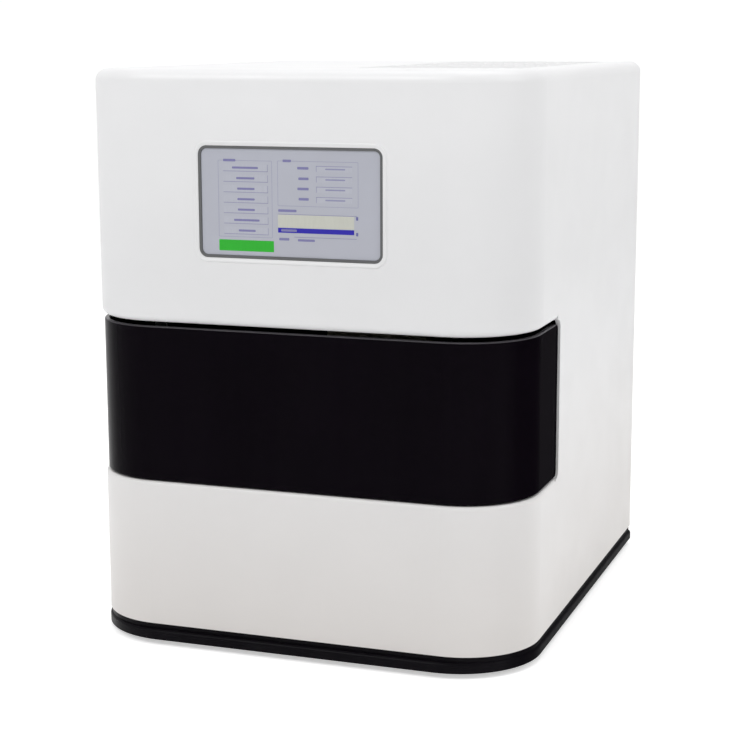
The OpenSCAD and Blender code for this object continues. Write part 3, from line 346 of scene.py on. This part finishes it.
FINISH = {
    # the last colour is a painted shade: the cover darker and warmer near the base
    "cover": cover_white("cover_white", (240, 240, 241), 0.36, (224, 220, 217)),
    "base": wrapped_gloss("base_black", (14, 12, 16), 0.3, 1.13, 0.035),
    # above 282.3 mm the visor's top edge carries a painted highlight
    "visor": wrapped_gloss("visor_black", (9, 5, 11), 0.08, 1.09, 0.006, highlight_z=0.2823),
    "rubber": moulded("foot_rubber", (34, 34, 35), 0.8, drift=0.1, grain=0.0012, depth=0.00008),
    "grey_paint": moulded("panel_paint", (202, 202, 200), 0.45, grain=0.0012, depth=0.00004),
    "plate_steel": brushed("plated_steel", (176, 178, 180), 0.36, "x"),
    "liner": moulded("liner_black", (34, 34, 37), 0.5, drift=0.08, grain=0.0008, depth=0.00005),
    "bezel": moulded("bezel_grey", (94, 95, 96), 0.42, drift=0.04, grain=0.0006),
    "panel": panel_glass("screen_face", (171, 173, 183)),
    "module": brushed("screen_can", (150, 152, 150), 0.4, "z"),
    "steel": turned("ground_steel", (206, 207, 210), 0.2),
    "bronze": turned("sintered_bronze", (168, 128, 70), 0.38),
    "brass": turned("brass", (206, 170, 92), 0.26),
    "magnet": cast("nickel_magnet", (120, 122, 126), 0.3, drift=0.08),
    "anodised": cast("anodised_dark", (50, 53, 58), 0.38, drift=0.08, grain=0.0004, depth=0.00001),
    "alu": brushed("aluminium_plate", (190, 192, 195), 0.33, "x"),
    "alu_cast": cast("aluminium_blasted", (178, 180, 182), 0.42),
    "carriage": cast("anodised_grey", (104, 107, 112), 0.4, drift=0.06, grain=0.0005, depth=0.00001),
    "acetal": moulded("acetal_cream", (222, 216, 194), 0.4, drift=0.03),
    "knob": moulded("knob_black", (30, 30, 32), 0.45, drift=0.08, grain=0.0009, depth=0.00005),
    "motor": laminated("motor_black", (38, 38, 40)),
    "oven": brushed("oven_aluminium", (196, 197, 198), 0.3, "z"),
    "wool": insulation("oven_insulation"),
    "ceramic": moulded("heater_ceramic", (214, 206, 190), 0.6),
    "board": board_green("board_green"),
    "psu": brushed("supply_case", (184, 186, 188), 0.42, "y"),
    "black_pbt": moulded("black_pbt", (26, 26, 28), 0.5, drift=0.08),
    "rocker": moulded("rocker_red", (148, 26, 20), 0.3, drift=0.05),
    "zinc": cast("zinc_plated", (188, 190, 194), 0.34),
    "chrome": turned("chromed_wire", (208, 210, 213), 0.18),
    "actuator": moulded("actuator_black", (40, 41, 44), 0.5, drift=0.06),
    "valve_steel": turned("valve_steel", (196, 198, 202), 0.24),
    "rotor": moulded("rotor_polymer", (60, 60, 66), 0.4),
}

SKIN = {
    "base_plate": "base", "rubber_feet": "rubber", "cover_shell": "cover", "rear_panel": "grey_paint",
    "rear_screws": "zinc", "deck_plate": "plate_steel", "deck_posts": "steel", "bay_liner": "liner",
    "ceiling_plate": "plate_steel", "screen_bezel": "bezel", "touch_panel": "panel",
    "display_module": "module", "visor_door": "visor", "pivot_pins": "steel", "hinge_bushes": "bronze",
    "catch_plate": "zinc", "catch_magnet": "magnet", "carousel_plate": "anodised",
    "carousel_floor": "plate_steel", "carousel_pillars": "steel", "carousel_spindle": "steel",
    "carousel_gear": "acetal", "spindle_nut": "knob", "spindle_housing": "alu_cast",
    "spindle_bearings": "steel", "carousel_motor": "motor", "motor_pinion": "brass", "oven_block": "oven",
    "oven_jacket": "wool", "cartridge_heaters": "ceramic", "lift_bridge": "alu", "needle_rods": "steel",
    "lift_top_plate": "alu", "needle_motor": "motor", "needle_screw": "steel",
    "needle_carriage": "carriage", "needle_bushes": "bronze", "sampling_needle": "steel",
    "lifter_motor": "motor", "lifter_screw": "steel", "lifter_rods": "steel", "lifter_carriage": "carriage",
    "lifter_bushes": "bronze", "lifter_plunger": "steel", "valve_block": "oven",
    "valve_body": "valve_steel", "valve_rotor": "rotor", "valve_actuator": "actuator",
    "sample_loop": "steel", "gas_manifold": "alu_cast", "power_supply": "psu", "main_board": "board",
    "mains_inlet": "black_pbt", "power_rocker": "rocker", "gas_fittings": "brass",
    "line_gland": "black_pbt", "signal_socket": "zinc", "fan_housing": "black_pbt",
    "fan_rotor": "black_pbt", "fan_guard": "chrome",
}
for node, skin in SKIN.items():
    slots = NODES[node].data.materials
    slots.clear()
    slots.append(FINISH[skin])


# ---------------------------------------------------------------- mesh helpers


def surface(points, cap=False):
    """Vertices and faces of a grid of points[i, j] = P(u_i, v_j), closed along v, its ends open or capped."""
    p = np.asarray(points, float)
    ids = np.arange(p.shape[0] * p.shape[1]).reshape(p.shape[:2])
    beside = np.roll(ids, -1, axis=1)
    quads = np.stack([ids[:-1], ids[1:], beside[1:], beside[:-1]], -1)
    faces = [tuple(q) for q in quads.reshape(-1, 4).tolist()]
    if cap:
        faces += [tuple(ids[0, ::-1].tolist()), tuple(ids[-1].tolist())]
    return p.reshape(-1, 3), faces


def piece(name, parts, body, materials, smooth=True):
    """One mesh object from parts of (vertices, faces, material index), riding on a body."""
    verts, faces, idx, base = [], [], [], 0
    for v, f, m in parts:
        verts.append(np.asarray(v, float))
        faces += [tuple(i + base for i in q) for q in f]
        idx += [m] * len(f)
        base += len(v)
    mesh = bpy.data.meshes.new(name)
    mesh.from_pydata(np.concatenate(verts).tolist(), [], faces)
    mesh.polygons.foreach_set("material_index", idx)
    mesh.polygons.foreach_set("use_smooth", [smooth] * len(faces))
    for m in materials:
        mesh.materials.append(m)
    mesh.validate()
    mesh.update()
    obj = bpy.data.objects.new(name, mesh)
    bpy.context.scene.collection.objects.link(obj)
    if smooth:
        mesh.set_sharp_from_angle(angle=math.radians(40))
    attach(obj, body)
    return obj


def rounded_loop(w, h, r, n=6):
    """Points of a rounded rectangle, centred: corner arcs of radius r, counter-clockwise."""
    r = min(r, w / 2, h / 2)
    out = []
    for k, (sx, sz) in enumerate(((1, -1), (1, 1), (-1, 1), (-1, -1))):
        t = math.radians(-90 + 90 * k) + np.linspace(0, math.pi / 2, n)
        out.append(np.stack([sx * (w / 2 - r) + r * np.cos(t), sz * (h / 2 - r) + r * np.sin(t)], -1))
    return np.concatenate(out)


def frame_ring(outer, inner, y):
    """Flat ring between two loops, in the plane y: P(s, t) = (1 - t) outer(s) + t inner(s)."""
    g = np.stack([outer, inner])
    return surface(np.stack([g[..., 0], np.full(g.shape[:2], y), g[..., 1]], -1))


def flat_plate(cx, cz, w, h, r, y):
    """Flat rounded plate facing the front: P(s, t) = centre + t loop(s), t from 0 to 1."""
    loop = rounded_loop(w, h, r)
    g = np.stack([loop * t for t in (0.001, 0.5, 1.0)]) + (cx, cz)
    v, f = surface(np.stack([g[..., 0], np.full(g.shape[:2], y), g[..., 1]], -1))
    return v, f + [tuple(range(len(loop) - 1, -1, -1))]


def at(x, v, z):
    """Point given in millimetres: X, depth behind the cover's front face and height."""
    return np.array((x * MM, FRONT + v * MM, z * MM))


def basis(axis):
    """Two directions across an axis, and the axis."""
    e3 = np.array(axis, float) / np.linalg.norm(axis)
    e1 = np.cross(e3, (0, 0, 1))
    e1 = e1 / np.linalg.norm(e1) if np.linalg.norm(e1) > 1e-6 else np.array((1.0, 0, 0))
    return np.stack([e1, np.cross(e3, e1), e3])


UP, DOWN, REAR, AHEAD = (0, 0, 1), (0, 0, -1), (0, 1, 0), (0, -1, 0)


def stacked(sections, heights, centre, axis=UP):
    """Closed sections along an axis, in millimetres: P(s, t) = centre + section(s, t) + h(s) axis."""
    g = np.stack([np.column_stack([q, np.full(len(q), h)]) for q, h in zip(sections, heights)])
    v, f = surface(g @ basis(axis) * MM + centre)
    return v, [q[::-1] for q in f]


def lathe(rows, centre, axis=UP, n=32):
    """P(s, a) = centre + r(s, a) (cos a, sin a) + h(s) axis, from rows of (r, h), where r may vary with a."""
    a = np.linspace(0, TAU, n, endpoint=False)
    ring = np.stack([np.cos(a), np.sin(a)], -1)
    sections = [ring * np.broadcast_to(r, (n,))[:, None] for r, _ in rows]
    return stacked(sections, [h for _, h in rows], centre, axis)


def slab(w, d, h, centre, axis=UP, r=0.6, c=0.4):
    """Block on rounded_loop(w, d, r), its upper edge chamfered by c and its top closed."""
    low, top = rounded_loop(w, d, r, 4), rounded_loop(w - 2 * c, d - 2 * c, r, 4)
    return stacked([low, low, top, top * 0.01], [0, h - c, h, h], centre, axis)


def hexagon(across, n):
    """Radius of a hexagon at n angles: r(a) = across / 2 / cos((a mod 60) - 30)."""
    a = np.degrees(np.linspace(0, TAU, n, endpoint=False))
    return across / 2 / np.cos(np.radians(a % 60 - 30))


def cap_screw(centre, axis=UP, d=5.5, h=3.0):
    """Head of a socket screw: chamfered cylinder with a hexagonal recess."""
    key = hexagon(0.45 * d, 24)
    rows = [(d / 2, 0), (d / 2, 0.86 * h), (0.45 * d, h), (key, h), (key, 0.45 * h), (0.01, 0.45 * h)]
    return lathe(rows, centre, axis, 24)


def threaded(length, crest, depth, pitch, starts, centre, axis=UP, n=40, step=0.25):
    """Thread: r(a, z) = crest - depth g(frac(z / pitch - starts a / 2 pi)), g a trapezium from 0 to 1."""
    z = np.arange(0, length + step / 2, step)
    a = np.linspace(0, TAU, n, endpoint=False)
    place = (z[:, None] / pitch - starts * a / TAU) % 1
    g = np.clip((0.5 - np.abs(place - 0.5)) * 4 - 0.5, 0, 1)
    r = np.minimum(crest - depth * g, crest - depth + np.minimum(z, length - z)[:, None])
    rows = [(0.01, 0)] + [(q, h) for q, h in zip(r, z)] + [(0.01, length)]
    return lathe(rows, centre, axis, n)


# ---------------------------------------------------------------- the screen's picture

SCREEN_W, SCREEN_H = 0.1576, 0.0882
SCREEN_X, SCREEN_Z = 0.0016, 0.3915
GLASS_Y = FRONT + 0.0014
BEZEL_RIM, BEZEL_R = 0.0024, 0.0075
LAYER = 0.00004  # from one layer of the picture to the next
INKS = [ink("screen_light", (174, 176, 186)), ink("screen_line", (138, 138, 168)),
        ink("screen_word", (120, 118, 160)), ink("screen_green", (36, 166, 38), 0.1),
        ink("screen_cream", (188, 189, 180)), ink("screen_blue", (34, 24, 156), 0.1),
        ink("screen_deep", (100, 100, 150))]
KEY, LINE, WORD, GREEN, CREAM, BLUE, DEEP = range(7)


def on_glass(u0, v0, u1, v1):
    """Centre and size in metres of a patch between two corners given as shares of the screen, v downwards."""
    return (SCREEN_X + ((u0 + u1) / 2 - 0.5) * SCREEN_W, SCREEN_Z + (0.5 - (v0 + v1) / 2) * SCREEN_H,
            (u1 - u0) * SCREEN_W, (v1 - v0) * SCREEN_H)


def on_screen(u0, v0, u1, v1, colour, layer, r=0.0006):
    """Flat patch of the picture between two corners."""
    v, f = flat_plate(*on_glass(u0, v0, u1, v1), r, GLASS_Y - LAYER * (layer + 1))
    return v, f, colour


def outlined(u0, v0, u1, v1, t, colour, layer):
    """Thin frame of thickness t metres round a patch."""
    cx, cz, w, h = on_glass(u0, v0, u1, v1)
    outer, inner = rounded_loop(w, h, 0.0008), rounded_loop(w - 2 * t, h - 2 * t, 0.0005)
    v, f = frame_ring(outer + (cx, cz), inner + (cx, cz), GLASS_Y - LAYER * (layer + 1))
    return v, f, colour


def screen_picture():
    """A plain control page without lettering: two frames, seven keys, four fields, a list and two bars."""
    parts = [outlined(0.0965, 0.107, 0.403, 0.826, 0.0003, LINE, 0),
             outlined(0.434, 0.103, 0.881, 0.522, 0.0003, LINE, 0)]
    words = [(0.177, 0.325), (0.2, 0.304), (0.205, 0.304), (0.205, 0.304), (0.207, 0.304), (0.184, 0.33),
             (0.21, 0.307)]
    for i, (left, right) in enumerate(words):
        low = 0.211 + 0.0982 * i
        parts.append(on_screen(0.1265, low - 0.068, 0.3796, low, KEY, 0))
        parts.append(on_screen(0.1265, low - 0.006, 0.3796, low, LINE, 1, 0.0001))
        parts.append(on_screen(0.3768, low - 0.068, 0.3796, low, LINE, 1, 0.0001))
        parts.append(on_screen(left, low - 0.046, right, low - 0.026, WORD, 2))
    parts.append(on_screen(0.0965, 0.854, 0.4096, 0.959, GREEN, 1))
    for i, v in enumerate((0.144, 0.241, 0.335, 0.43)):
        parts.append(on_screen(0.6495, v, 0.848, v + 0.055, KEY, 0))
        parts.append(on_screen(0.6495, v, 0.848, v + 0.006, LINE, 1, 0.0001))
        parts.append(on_screen(0.6495, v, 0.6525, v + 0.055, LINE, 1, 0.0001))
        parts.append(on_screen(0.7, v + 0.022, 0.81, v + 0.036, LINE, 1, 0.0005))
        parts.append(on_screen(0.545 + 0.006 * (i % 2), v + 0.012, 0.608, v + 0.036, WORD, 1))
    parts.append(on_screen(0.434, 0.596, 0.8576, 0.722, CREAM, 0))
    parts.append(on_screen(0.434, 0.596, 0.875, 0.602, LINE, 1, 0.0001))
    parts.append(on_screen(0.434, 0.7265, 0.8576, 0.7715, BLUE, 1, 0.0001))
    parts.append(on_screen(0.452, 0.738, 0.54, 0.76, WORD, 2))
    parts.append(on_screen(0.525, 0.806, 0.8716, 0.812, LINE, 1, 0.0001))
    parts.append(on_screen(0.545, 0.826, 0.64, 0.848, WORD, 1))
    for left, right, v in ((0.1265, 0.197, 0.107), (0.464, 0.511, 0.103),
                           (0.436, 0.539, 0.565), (0.44, 0.497, 0.832)):
        parts.append(on_screen(left, v - 0.012, right, v + 0.012, WORD, 2))
    for v in (0.62, 0.765):
        parts.append(on_screen(0.868, v - 0.016, 0.88, v + 0.016, DEEP, 2, 0.0004))
    piece("screen_picture", parts, "chassis", INKS, smooth=False)


screen_picture()


def screen_surround():
    """Rolled white lip round the screen: rows are the bezel's outline grown by d at depth v, in mm."""
    rows = [(0.12, 0.2), (0.5, 0.1), (1.0, -0.05), (1.8, -0.4), (2.6, -0.68), (3.0, -0.74), (3.4, -0.66),
            (3.8, -0.4), (4.0, 0.05)]
    w, h = SCREEN_W + 2 * BEZEL_RIM, SCREEN_H + 2 * BEZEL_RIM
    loops = [rounded_loop(w + 2 * d * MM, h + 2 * d * MM, BEZEL_R + d * MM, 12) + (SCREEN_X, SCREEN_Z)
             for d, _ in rows]
    y = [np.full(len(loops[0]), FRONT + v * MM) for _, v in rows]
    grid = np.stack([np.stack([p[:, 0], q, p[:, 1]], -1) for p, q in zip(loops, y)])
    v, f = surface(grid[::-1])
    piece("screen_surround", [(v, f, 0)], "chassis", [FINISH["cover"]])


screen_surround()


# ---------------------------------------------------------------- small parts


def dressed(name, parts, body, skins, stands_for=None):
    """One smooth piece in named finishes, which may stand for a CAD node."""
    obj = piece(name, parts, body, [FINISH[k] for k in skins])
    if stands_for:
        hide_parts(stands_for)


def lead_screws():
    """Four-start screws of 8 mm diameter and 8 mm lead."""
    for name, node, body, v, low, top in (
            ("needle_thread", "needle_screw", "needle_lead_screw", NEEDLE_V, 299, 460),
            ("lifter_thread", "lifter_screw", "lifter_lead_screw", LIFTER_V, 35.5, 137.5)):
        v, f = threaded(top - low, 4.0, 0.9, 2.0, 4, at(0, v, low))
        dressed(name, [(v, f, 0)], body, ["steel"], node)


def fan_wheel():
    """Hub and twisted blades of radius 15.4 + 18.2 u and chord angle w(q) (0.42 - 0.1 u) + 0.16 u^2."""
    centre = at(FAN_X, 426, FAN_Z)
    rows = [(0.01, -3), (2, -3), (2, 0), (15.2, 0), (16, 0.8), (16, 16.2), (15.4, 17.4), (14, 18), (12.6, 18),
            (12.4, 17.6), (0.01, 17.6)]
    parts = [(*lathe(rows, centre, REAR, 48), 0)]
    u = np.linspace(0, 1, 12)[:, None]
    q = np.linspace(0, TAU, 20, endpoint=False)[None, :]
    w, t = np.cos(q), np.sin(q)
    for i in range(BLADES):
        r = 15.4 + 18.2 * u + 0 * w
        a = TAU / BLADES * i + w * (0.42 - 0.1 * u) + 0.16 * u ** 2
        h = 9 + 6.0 * w * (1 - 0.15 * u) - 1.3 * (1 - w ** 2) + 0.75 * t
        blade = np.stack([r * np.cos(a), r * np.sin(a), h], -1)
        parts.append((*surface(blade @ basis(REAR) * MM + centre, cap=True), 0))
    dressed("fan_wheel", parts, "fan", ["black_pbt"], "fan_rotor")


def corners(a, b):
    """The four points (+-a, +-b)."""
    return [(-a, -b), (a, -b), (-a, b), (a, b)]


def socket_screws():
    """Heads of the socket screws on the fixed parts, on the carousel and under the needle's carriage."""
    heads = []
    for x, v in corners(15.5, 15.5):
        heads.append((at(x, NEEDLE_V + v, 493), UP, 5.5, 1.5))
        heads.append((at(x, LIFTER_V + v, 40.5), UP, 5.5, 1.5))
        heads.append((at(-90 + x, CAROUSEL_V + v, 100), DOWN, 5, 1.2))
    heads += [(at(x, OVEN_V, 455), UP, 7, 3) for x in (-32, 32)]
    heads += [(at(x, OVEN_V + v, 304), UP, 6, 3) for x, v in corners(55, 50)]
    heads += [(at(x, CAROUSEL_V + v, 145), UP, 5.5, 2.5) for x, v in corners(18.4, 18.4)]
    heads += [(at(x, OVEN_V + v, OVEN_Z), DOWN, 6, 2.5) for x, v in corners(34, 34)]
    heads += [(at(VALVE_X + x, VALVE_V + v, 338), UP, 5.5, 3) for x, v in corners(34, 29)]
    heads += [(at(VALVE_X + x, VALVE_V + v, 408), UP, 4.5, 1.5) for x, v in corners(30, 18)]
    heads += [(at(x, 330, 216 + z), AHEAD, 5.5, 1.5) for x, z in corners(165, 62)]
    heads += [(at(MANIFOLD_X + x, 361, 52.5), UP, 5.5, 3) for x in (-46, 46)]
    heads += [(at(SUPPLY_X + x, 393.5 + v, 70.5), UP, 4.5, 1.2) for x, v in corners(44, 43)]
    heads += [(at(BOARD_X + x, 315 + v, BOARD_Z), UP, 5, 1.8) for x, v in corners(34, 77)]
    heads += [(at(SCREEN_X / MM + x, 24, SCREEN_Z / MM + z), REAR, 4.5, 1.5) for x, z in corners(76, 42)]
    heads += [(at(FAN_X + x, 453, FAN_Z + z), REAR, 5.4, 1.4) for x, z in corners(35.36, 35.36)]
    dressed("cap_screws", [(*cap_screw(*h), 0) for h in heads], "chassis", ["zinc"])
    spots = [(80 * math.cos(a), 80 * math.sin(a)) for a in np.radians(range(0, 360, 60))]
    top = [(*cap_screw(at(x, CAROUSEL_V + v, CAROUSEL_TOP), UP, 6, 2.4), 0) for x, v in spots]
    dressed("carousel_screws", top, "carousel", ["zinc"])
    under = [(*cap_screw(at(x, 262, 436), DOWN, 5, 2), 0) for x in (-20, 20)]
    dressed("carriage_screws", under, "needle_lift", ["zinc"])


def pocket_marks():
    """Bright chamfer round every pocket and a dot that marks its place."""
    parts = []
    for a in np.radians(90 + 360 / POCKETS * np.arange(POCKETS)):
        c = at(POCKET_RING * math.cos(a), CAROUSEL_V + POCKET_RING * math.sin(a), CAROUSEL_TOP)
        parts.append((*lathe([(11.72, -0.6), (12.3, 0.04), (11.72, -0.1)], c, UP, 48), 0))
        d = at(DOT_RING * math.cos(a), CAROUSEL_V + DOT_RING * math.sin(a), CAROUSEL_TOP)
        parts.append((*lathe([(1.6, 0), (1.5, 0.08), (0.01, 0.08)], d, UP, 20), 1))
    dressed("pocket_marks", parts, "carousel", ["steel", "ceramic"])


def oven_mouth():
    """Steel ring round the opening in the oven's underside."""
    rows = [(12.0, -0.2), (15.5, -0.2), (15.5, 0.8), (13, 1.2), (12, 0.2)]
    ring = lathe(rows, at(0, OVEN_V, OVEN_Z), DOWN, 48)
    dressed("oven_mouth", [(*ring, 0)], "chassis", ["steel"])


def valve_nuts():
    """Hexagonal nuts on the six ports."""
    six = hexagon(6.6, 24)
    parts = []
    for a in np.radians(range(0, 360, 60)):
        d = (math.cos(a), math.sin(a), 0)
        c = at(VALVE_X + 17.5 * d[0], VALVE_V + 17.5 * d[1], 345)
        parts.append((*lathe([(six, 0), (six, 4), (2.6, 4.6), (2.6, 7.2), (1.1, 7.6)], c, d, 24), 0))
    dressed("valve_nuts", parts, "chassis", ["zinc"])


def on_board(x, v, z=0):
    """Point on the main board, from the middle of its front edge, in millimetres."""
    return at(BOARD_X + x, BOARD_V + v, BOARD_Z + z)


def board_parts():
    """Connectors, a processor with its leads, a finned cooler, capacitors and small parts on the board."""
    parts = []
    for i in (-1, 0, 1):
        parts.append((*slab(18.4, 12.4, 9.3, on_board(22 * i, 22), r=0.5), 0))
        parts.append((*slab(15.6, 5, 0.2, on_board(22 * i, 22, 9.3), c=0.05), 1))
        for k in range(-2, 3):
            parts.append((*slab(0.7, 0.7, 0.6, on_board(22 * i + 2.5 * k, 22, 9.4), r=0.1, c=0.1), 2))
    parts.append((*slab(28.3, 28.3, 4.2, on_board(-14, 76), r=0.8), 1))
    for k in np.arange(-11.7, 11.8, 1.8):
        for s in (-1, 1):
            parts.append((*slab(1.6, 0.7, 0.5, on_board(-14 + 14.9 * s, 76 + k), r=0.1, c=0.1), 2))
            parts.append((*slab(0.7, 1.6, 0.5, on_board(-14 + k, 76 + 14.9 * s), r=0.1, c=0.1), 2))
    parts.append((*slab(30.4, 40.4, 6, on_board(18, 132), r=0.6), 3))
    for k in np.linspace(-14.4, 14.4, 8):
        parts.append((*slab(1.6, 40.4, 14.4, on_board(18 + k, 132, 0.4), r=0.3, c=0.2), 3))
    can = [(5.15, 0), (5.15, 1.6), (4.9, 2.0), (5.15, 2.4), (5.15, 15.4), (4.6, 16.1)]
    for i in range(3):
        parts.append((*lathe(can, on_board(-30, 108 + 15 * i)), 1))
        parts.append((*lathe([(4.6, 16.1), (4.2, 16.15), (0.01, 16.1)], on_board(-30, 108 + 15 * i)), 3))
    rng = np.random.default_rng(7)
    for k in range(44):
        x, v = rng.uniform(-36, 36), rng.uniform(34, 58) if k % 2 else rng.uniform(92, 166)
        if v > 90 and (x > 0 or x < -22):
            continue
        w, d = (2.0, 1.2) if k % 3 else (1.2, 2.0)
        parts.append((*slab(w, d, 0.7, on_board(x, v), r=0.1, c=0.1), (0, 1, 2)[k % 3]))
    dressed("board_parts", parts, "chassis", ["ceramic", "black_pbt", "zinc", "alu_cast"])


def valve_coils():
    """Moulded coils of the three gas valves, each with its plug socket, and the supply's terminals."""
    parts = []
    for x in (MANIFOLD_X - 34, MANIFOLD_X, MANIFOLD_X + 34):
        parts.append((*slab(26.4, 26.4, 32.3, at(x, 377.5, 58.4), r=2.5, c=1.2), 0))
        parts.append((*slab(16, 12, 7, at(x, 379, 90.6), r=1.5, c=0.8), 1))
        parts.append((*lathe([(3.4, 0), (3.4, 2.2), (2.8, 2.8), (0.01, 2.8)], at(x, 368.5, 90.6)), 2))
    parts.append((*slab(62, 11, 8, at(SUPPLY_X, 344.6, 34), AHEAD, r=0.8), 0))
    for k in range(6):
        parts.append((*cap_screw(at(SUPPLY_X + 9.6 * (k - 2.5), 336.6, 34), AHEAD, 5, 0.8), 2))
    dressed("valve_coils", parts, "chassis", ["black_pbt", "carriage", "zinc"])


def rear_parts():
    """Pins and posts of the signal socket, fuse cap, ribbed gland nut and threads of the gas fittings."""
    parts = []
    pin = [(0.5, 0), (0.5, 5.4), (0.25, 6), (0.01, 6)]
    for row, count in ((1, 5), (-1, 4)):
        for i in range(count):
            x = SOCKET_X + 2.77 * (i - (count - 1) / 2)
            parts.append((*lathe(pin, at(x, 447, MAINS_Z + 1.42 * row), REAR, 12), 0))
    six = hexagon(5.2, 24)
    post = [(six, 0), (six, 4.4), (2.3, 4.8), (1.4, 4.8), (1.4, 2), (0.01, 2)]
    for s in (-1, 1):
        parts.append((*lathe(post, at(SOCKET_X + 13.6 * s, 450, MAINS_Z), REAR, 24), 1))
    parts.append((*lathe([(3.3, 0), (3.3, 5.6), (2.9, 6.2), (0.01, 6.2)], at(FUSE_X, 443, MAINS_Z), REAR), 2))
    parts.append((*slab(4.6, 0.9, 0.1, at(FUSE_X, 449.2, MAINS_Z), REAR, r=0.2, c=0.05), 1))
    a = np.linspace(0, TAU, 96, endpoint=False)
    rib = 12.4 + 0.45 * np.cos(16 * a)
    nut = [(rib, 5), (rib, 9.4), (rib - 1, 10.6), (8.2, 11.6), (6.2, 11.9), (6.02, 11.2)]
    parts.append((*lathe(nut, at(128, 449, 348), REAR, 96), 2))
    z = np.arange(0, 10.6, 0.25)
    turn = (z[:, None] - a[None, ::3] / TAU) % 1
    crest = 4.02 + 0.32 * np.abs(2 * turn - 1)
    thread = [(q, h) for q, h in zip(crest, z)] + [(3.4, 10.9), (1.7, 10.9)]
    for i in range(3):
        parts.append((*lathe(thread, at(95 + 28 * i, 454, 95), REAR, 32), 3))
    dressed("rear_parts", parts, "chassis", ["brass", "zinc", "black_pbt", "brass"])


def rocker_marks():
    """Line and ring on the two faces of the mains switch, which leans by 8 degrees at rest."""
    lean = math.radians(8)
    turn = np.array(((math.cos(lean), -math.sin(lean)), (math.sin(lean), math.cos(lean))))
    parts = []
    for s in (1, -1):
        y, z = turn @ (2.62, 5.2 * s)
        out = (0, *(turn @ (10.4, -2.0 * s)))
        c = at(-103, 449.5 + y, MAINS_Z + z)
        if s > 0:
            parts.append((*slab(0.9, 4.2, 0.12, c, out, r=0.1, c=0.05), 0))
        else:
            parts.append((*lathe([(2.1, 0), (2.05, 0.12), (1.35, 0.12), (1.3, 0)], c, out), 0))
    dressed("rocker_marks", parts, "switch", ["ceramic"])


def feet():
    """Rubber feet with a ring-shaped tread and a sunk screw."""
    rows = [(0.01, 2.6), (4.4, 2.6), (4.6, 1.2), (7.4, 1.2), (7.8, 0.3), (8.2, 0), (11.6, 0), (12.6, 0.5),
            (13, 1.2), (13, 5), (0.01, 5)]
    parts = []
    for x in (-150, 150):
        for v in (50, 402):
            parts.append((*lathe(rows, at(x, v, 0), UP, 64), 0))
            parts.append((*cap_screw(at(x, v, 2.6), DOWN, 7, 1.8), 1))
    dressed("ribbed_feet", parts, "chassis", ["rubber", "zinc"], "rubber_feet")


for make in (lead_screws, fan_wheel, socket_screws, pocket_marks, oven_mouth, valve_nuts, board_parts,
             valve_coils, rear_parts, rocker_marks, feet):
    make()


# ---------------------------------------------------------------- floor, lights and camera


def floor_bowl():
    """Pale floor: z = 0 up to r = 4 m, then r = 4 + 2.2 sin a and z = 2.2 (1 - cos a), and a wall.

    What the camera and reflections see of it is lifted to white, and no light from that reaches the object.
    """
    flat, bend, wall, n = 4, 2.2, 4.5, 96
    a = np.linspace(0.05, math.pi / 2, 16)
    r = np.concatenate([np.linspace(0.01, flat, 20), flat + bend * np.sin(a), [flat + bend]])
    z = np.concatenate([np.zeros(20), bend * (1 - np.cos(a)), [wall]])
    v, f = lathe(list(zip(r / MM, z / MM)), np.zeros(3), n=n)
    f = [q[::-1] for q in f]
    mesh = bpy.data.meshes.new("floor")
    mesh.from_pydata(v.tolist(), [], f + [tuple(range(n))])
    mesh.polygons.foreach_set("use_smooth", [True] * len(mesh.polygons))
    obj = bpy.data.objects.new("floor", mesh)
    bpy.context.scene.collection.objects.link(obj)
    s = Surface("floor_pale", (246, 246, 246), 0.9, ior=1.2)
    s.set("Emission Color", (1, 1, 1, 1))
    path = s.nodes.new("ShaderNodeLightPath")
    seen = s.math("ADD", path.outputs["Is Camera Ray"], path.outputs["Is Glossy Ray"])
    seen = s.math("ADD", seen, path.outputs["Is Transmission Ray"], clamp=True)
    s.links.new(s.math("MULTIPLY", seen, BACKDROP_LIFT), s.bsdf.inputs["Emission Strength"])
    mesh.materials.append(s.drift(0.8, 0.01).done())


def soft_light(name, place, target, size, power):
    """Rectangular lamp at a place, aimed at a target; size in metres, power in watts."""
    data = bpy.data.lights.new(name, "AREA")
    data.shape = "RECTANGLE"
    data.size, data.size_y = size
    data.energy = power
    obj = bpy.data.objects.new(name, data)
    bpy.context.scene.collection.objects.link(obj)
    d = np.array(target, float) - np.array(place, float)
    yaw, flat = math.atan2(d[1], d[0]), math.hypot(d[0], d[1])
    obj.location = place
    obj.rotation_euler = (math.atan2(flat, -d[2]), 0, yaw - math.pi / 2)


def camera(place, yaw, pitch, roll, focal_px):
    """Camera at a place, looking along (sin yaw cos pitch, cos yaw cos pitch, -sin pitch), in degrees."""
    data = bpy.data.cameras.new("camera")
    data.sensor_width = SENSOR_MM
    data.lens = focal_px / PHOTO_PX * SENSOR_MM
    data.clip_start, data.clip_end = 0.05, 50.0
    obj = bpy.data.objects.new("camera", data)
    bpy.context.scene.collection.objects.link(obj)
    y, p, r = (math.radians(a) for a in (yaw, pitch, roll))
    fwd = np.array([math.sin(y) * math.cos(p), math.cos(y) * math.cos(p), -math.sin(p)])
    right = np.array([math.cos(y), -math.sin(y), 0])
    up = np.cross(right, fwd)
    x = math.cos(r) * right + math.sin(r) * up
    z = -fwd
    m = Matrix.Identity(4)
    for i, col in enumerate((x, np.cross(z, x), z, np.array(place, float))):
        for j in range(3):
            m[j][i] = float(col[j])
    obj.matrix_world = m
    bpy.context.scene.camera = obj


floor_bowl()
camera(*CAMERA)

world = bpy.data.worlds.new("world")
bpy.context.scene.world = world
world.use_nodes = True
world.node_tree.nodes["Background"].inputs["Color"].default_value = (1, 1, 1, 1)
world.node_tree.nodes["Background"].inputs["Strength"].default_value = WORLD_LIGHT
for lamp, setting in LAMPS.items():
    soft_light(lamp, *setting)
bpy.context.scene.view_settings.view_transform = "Standard"
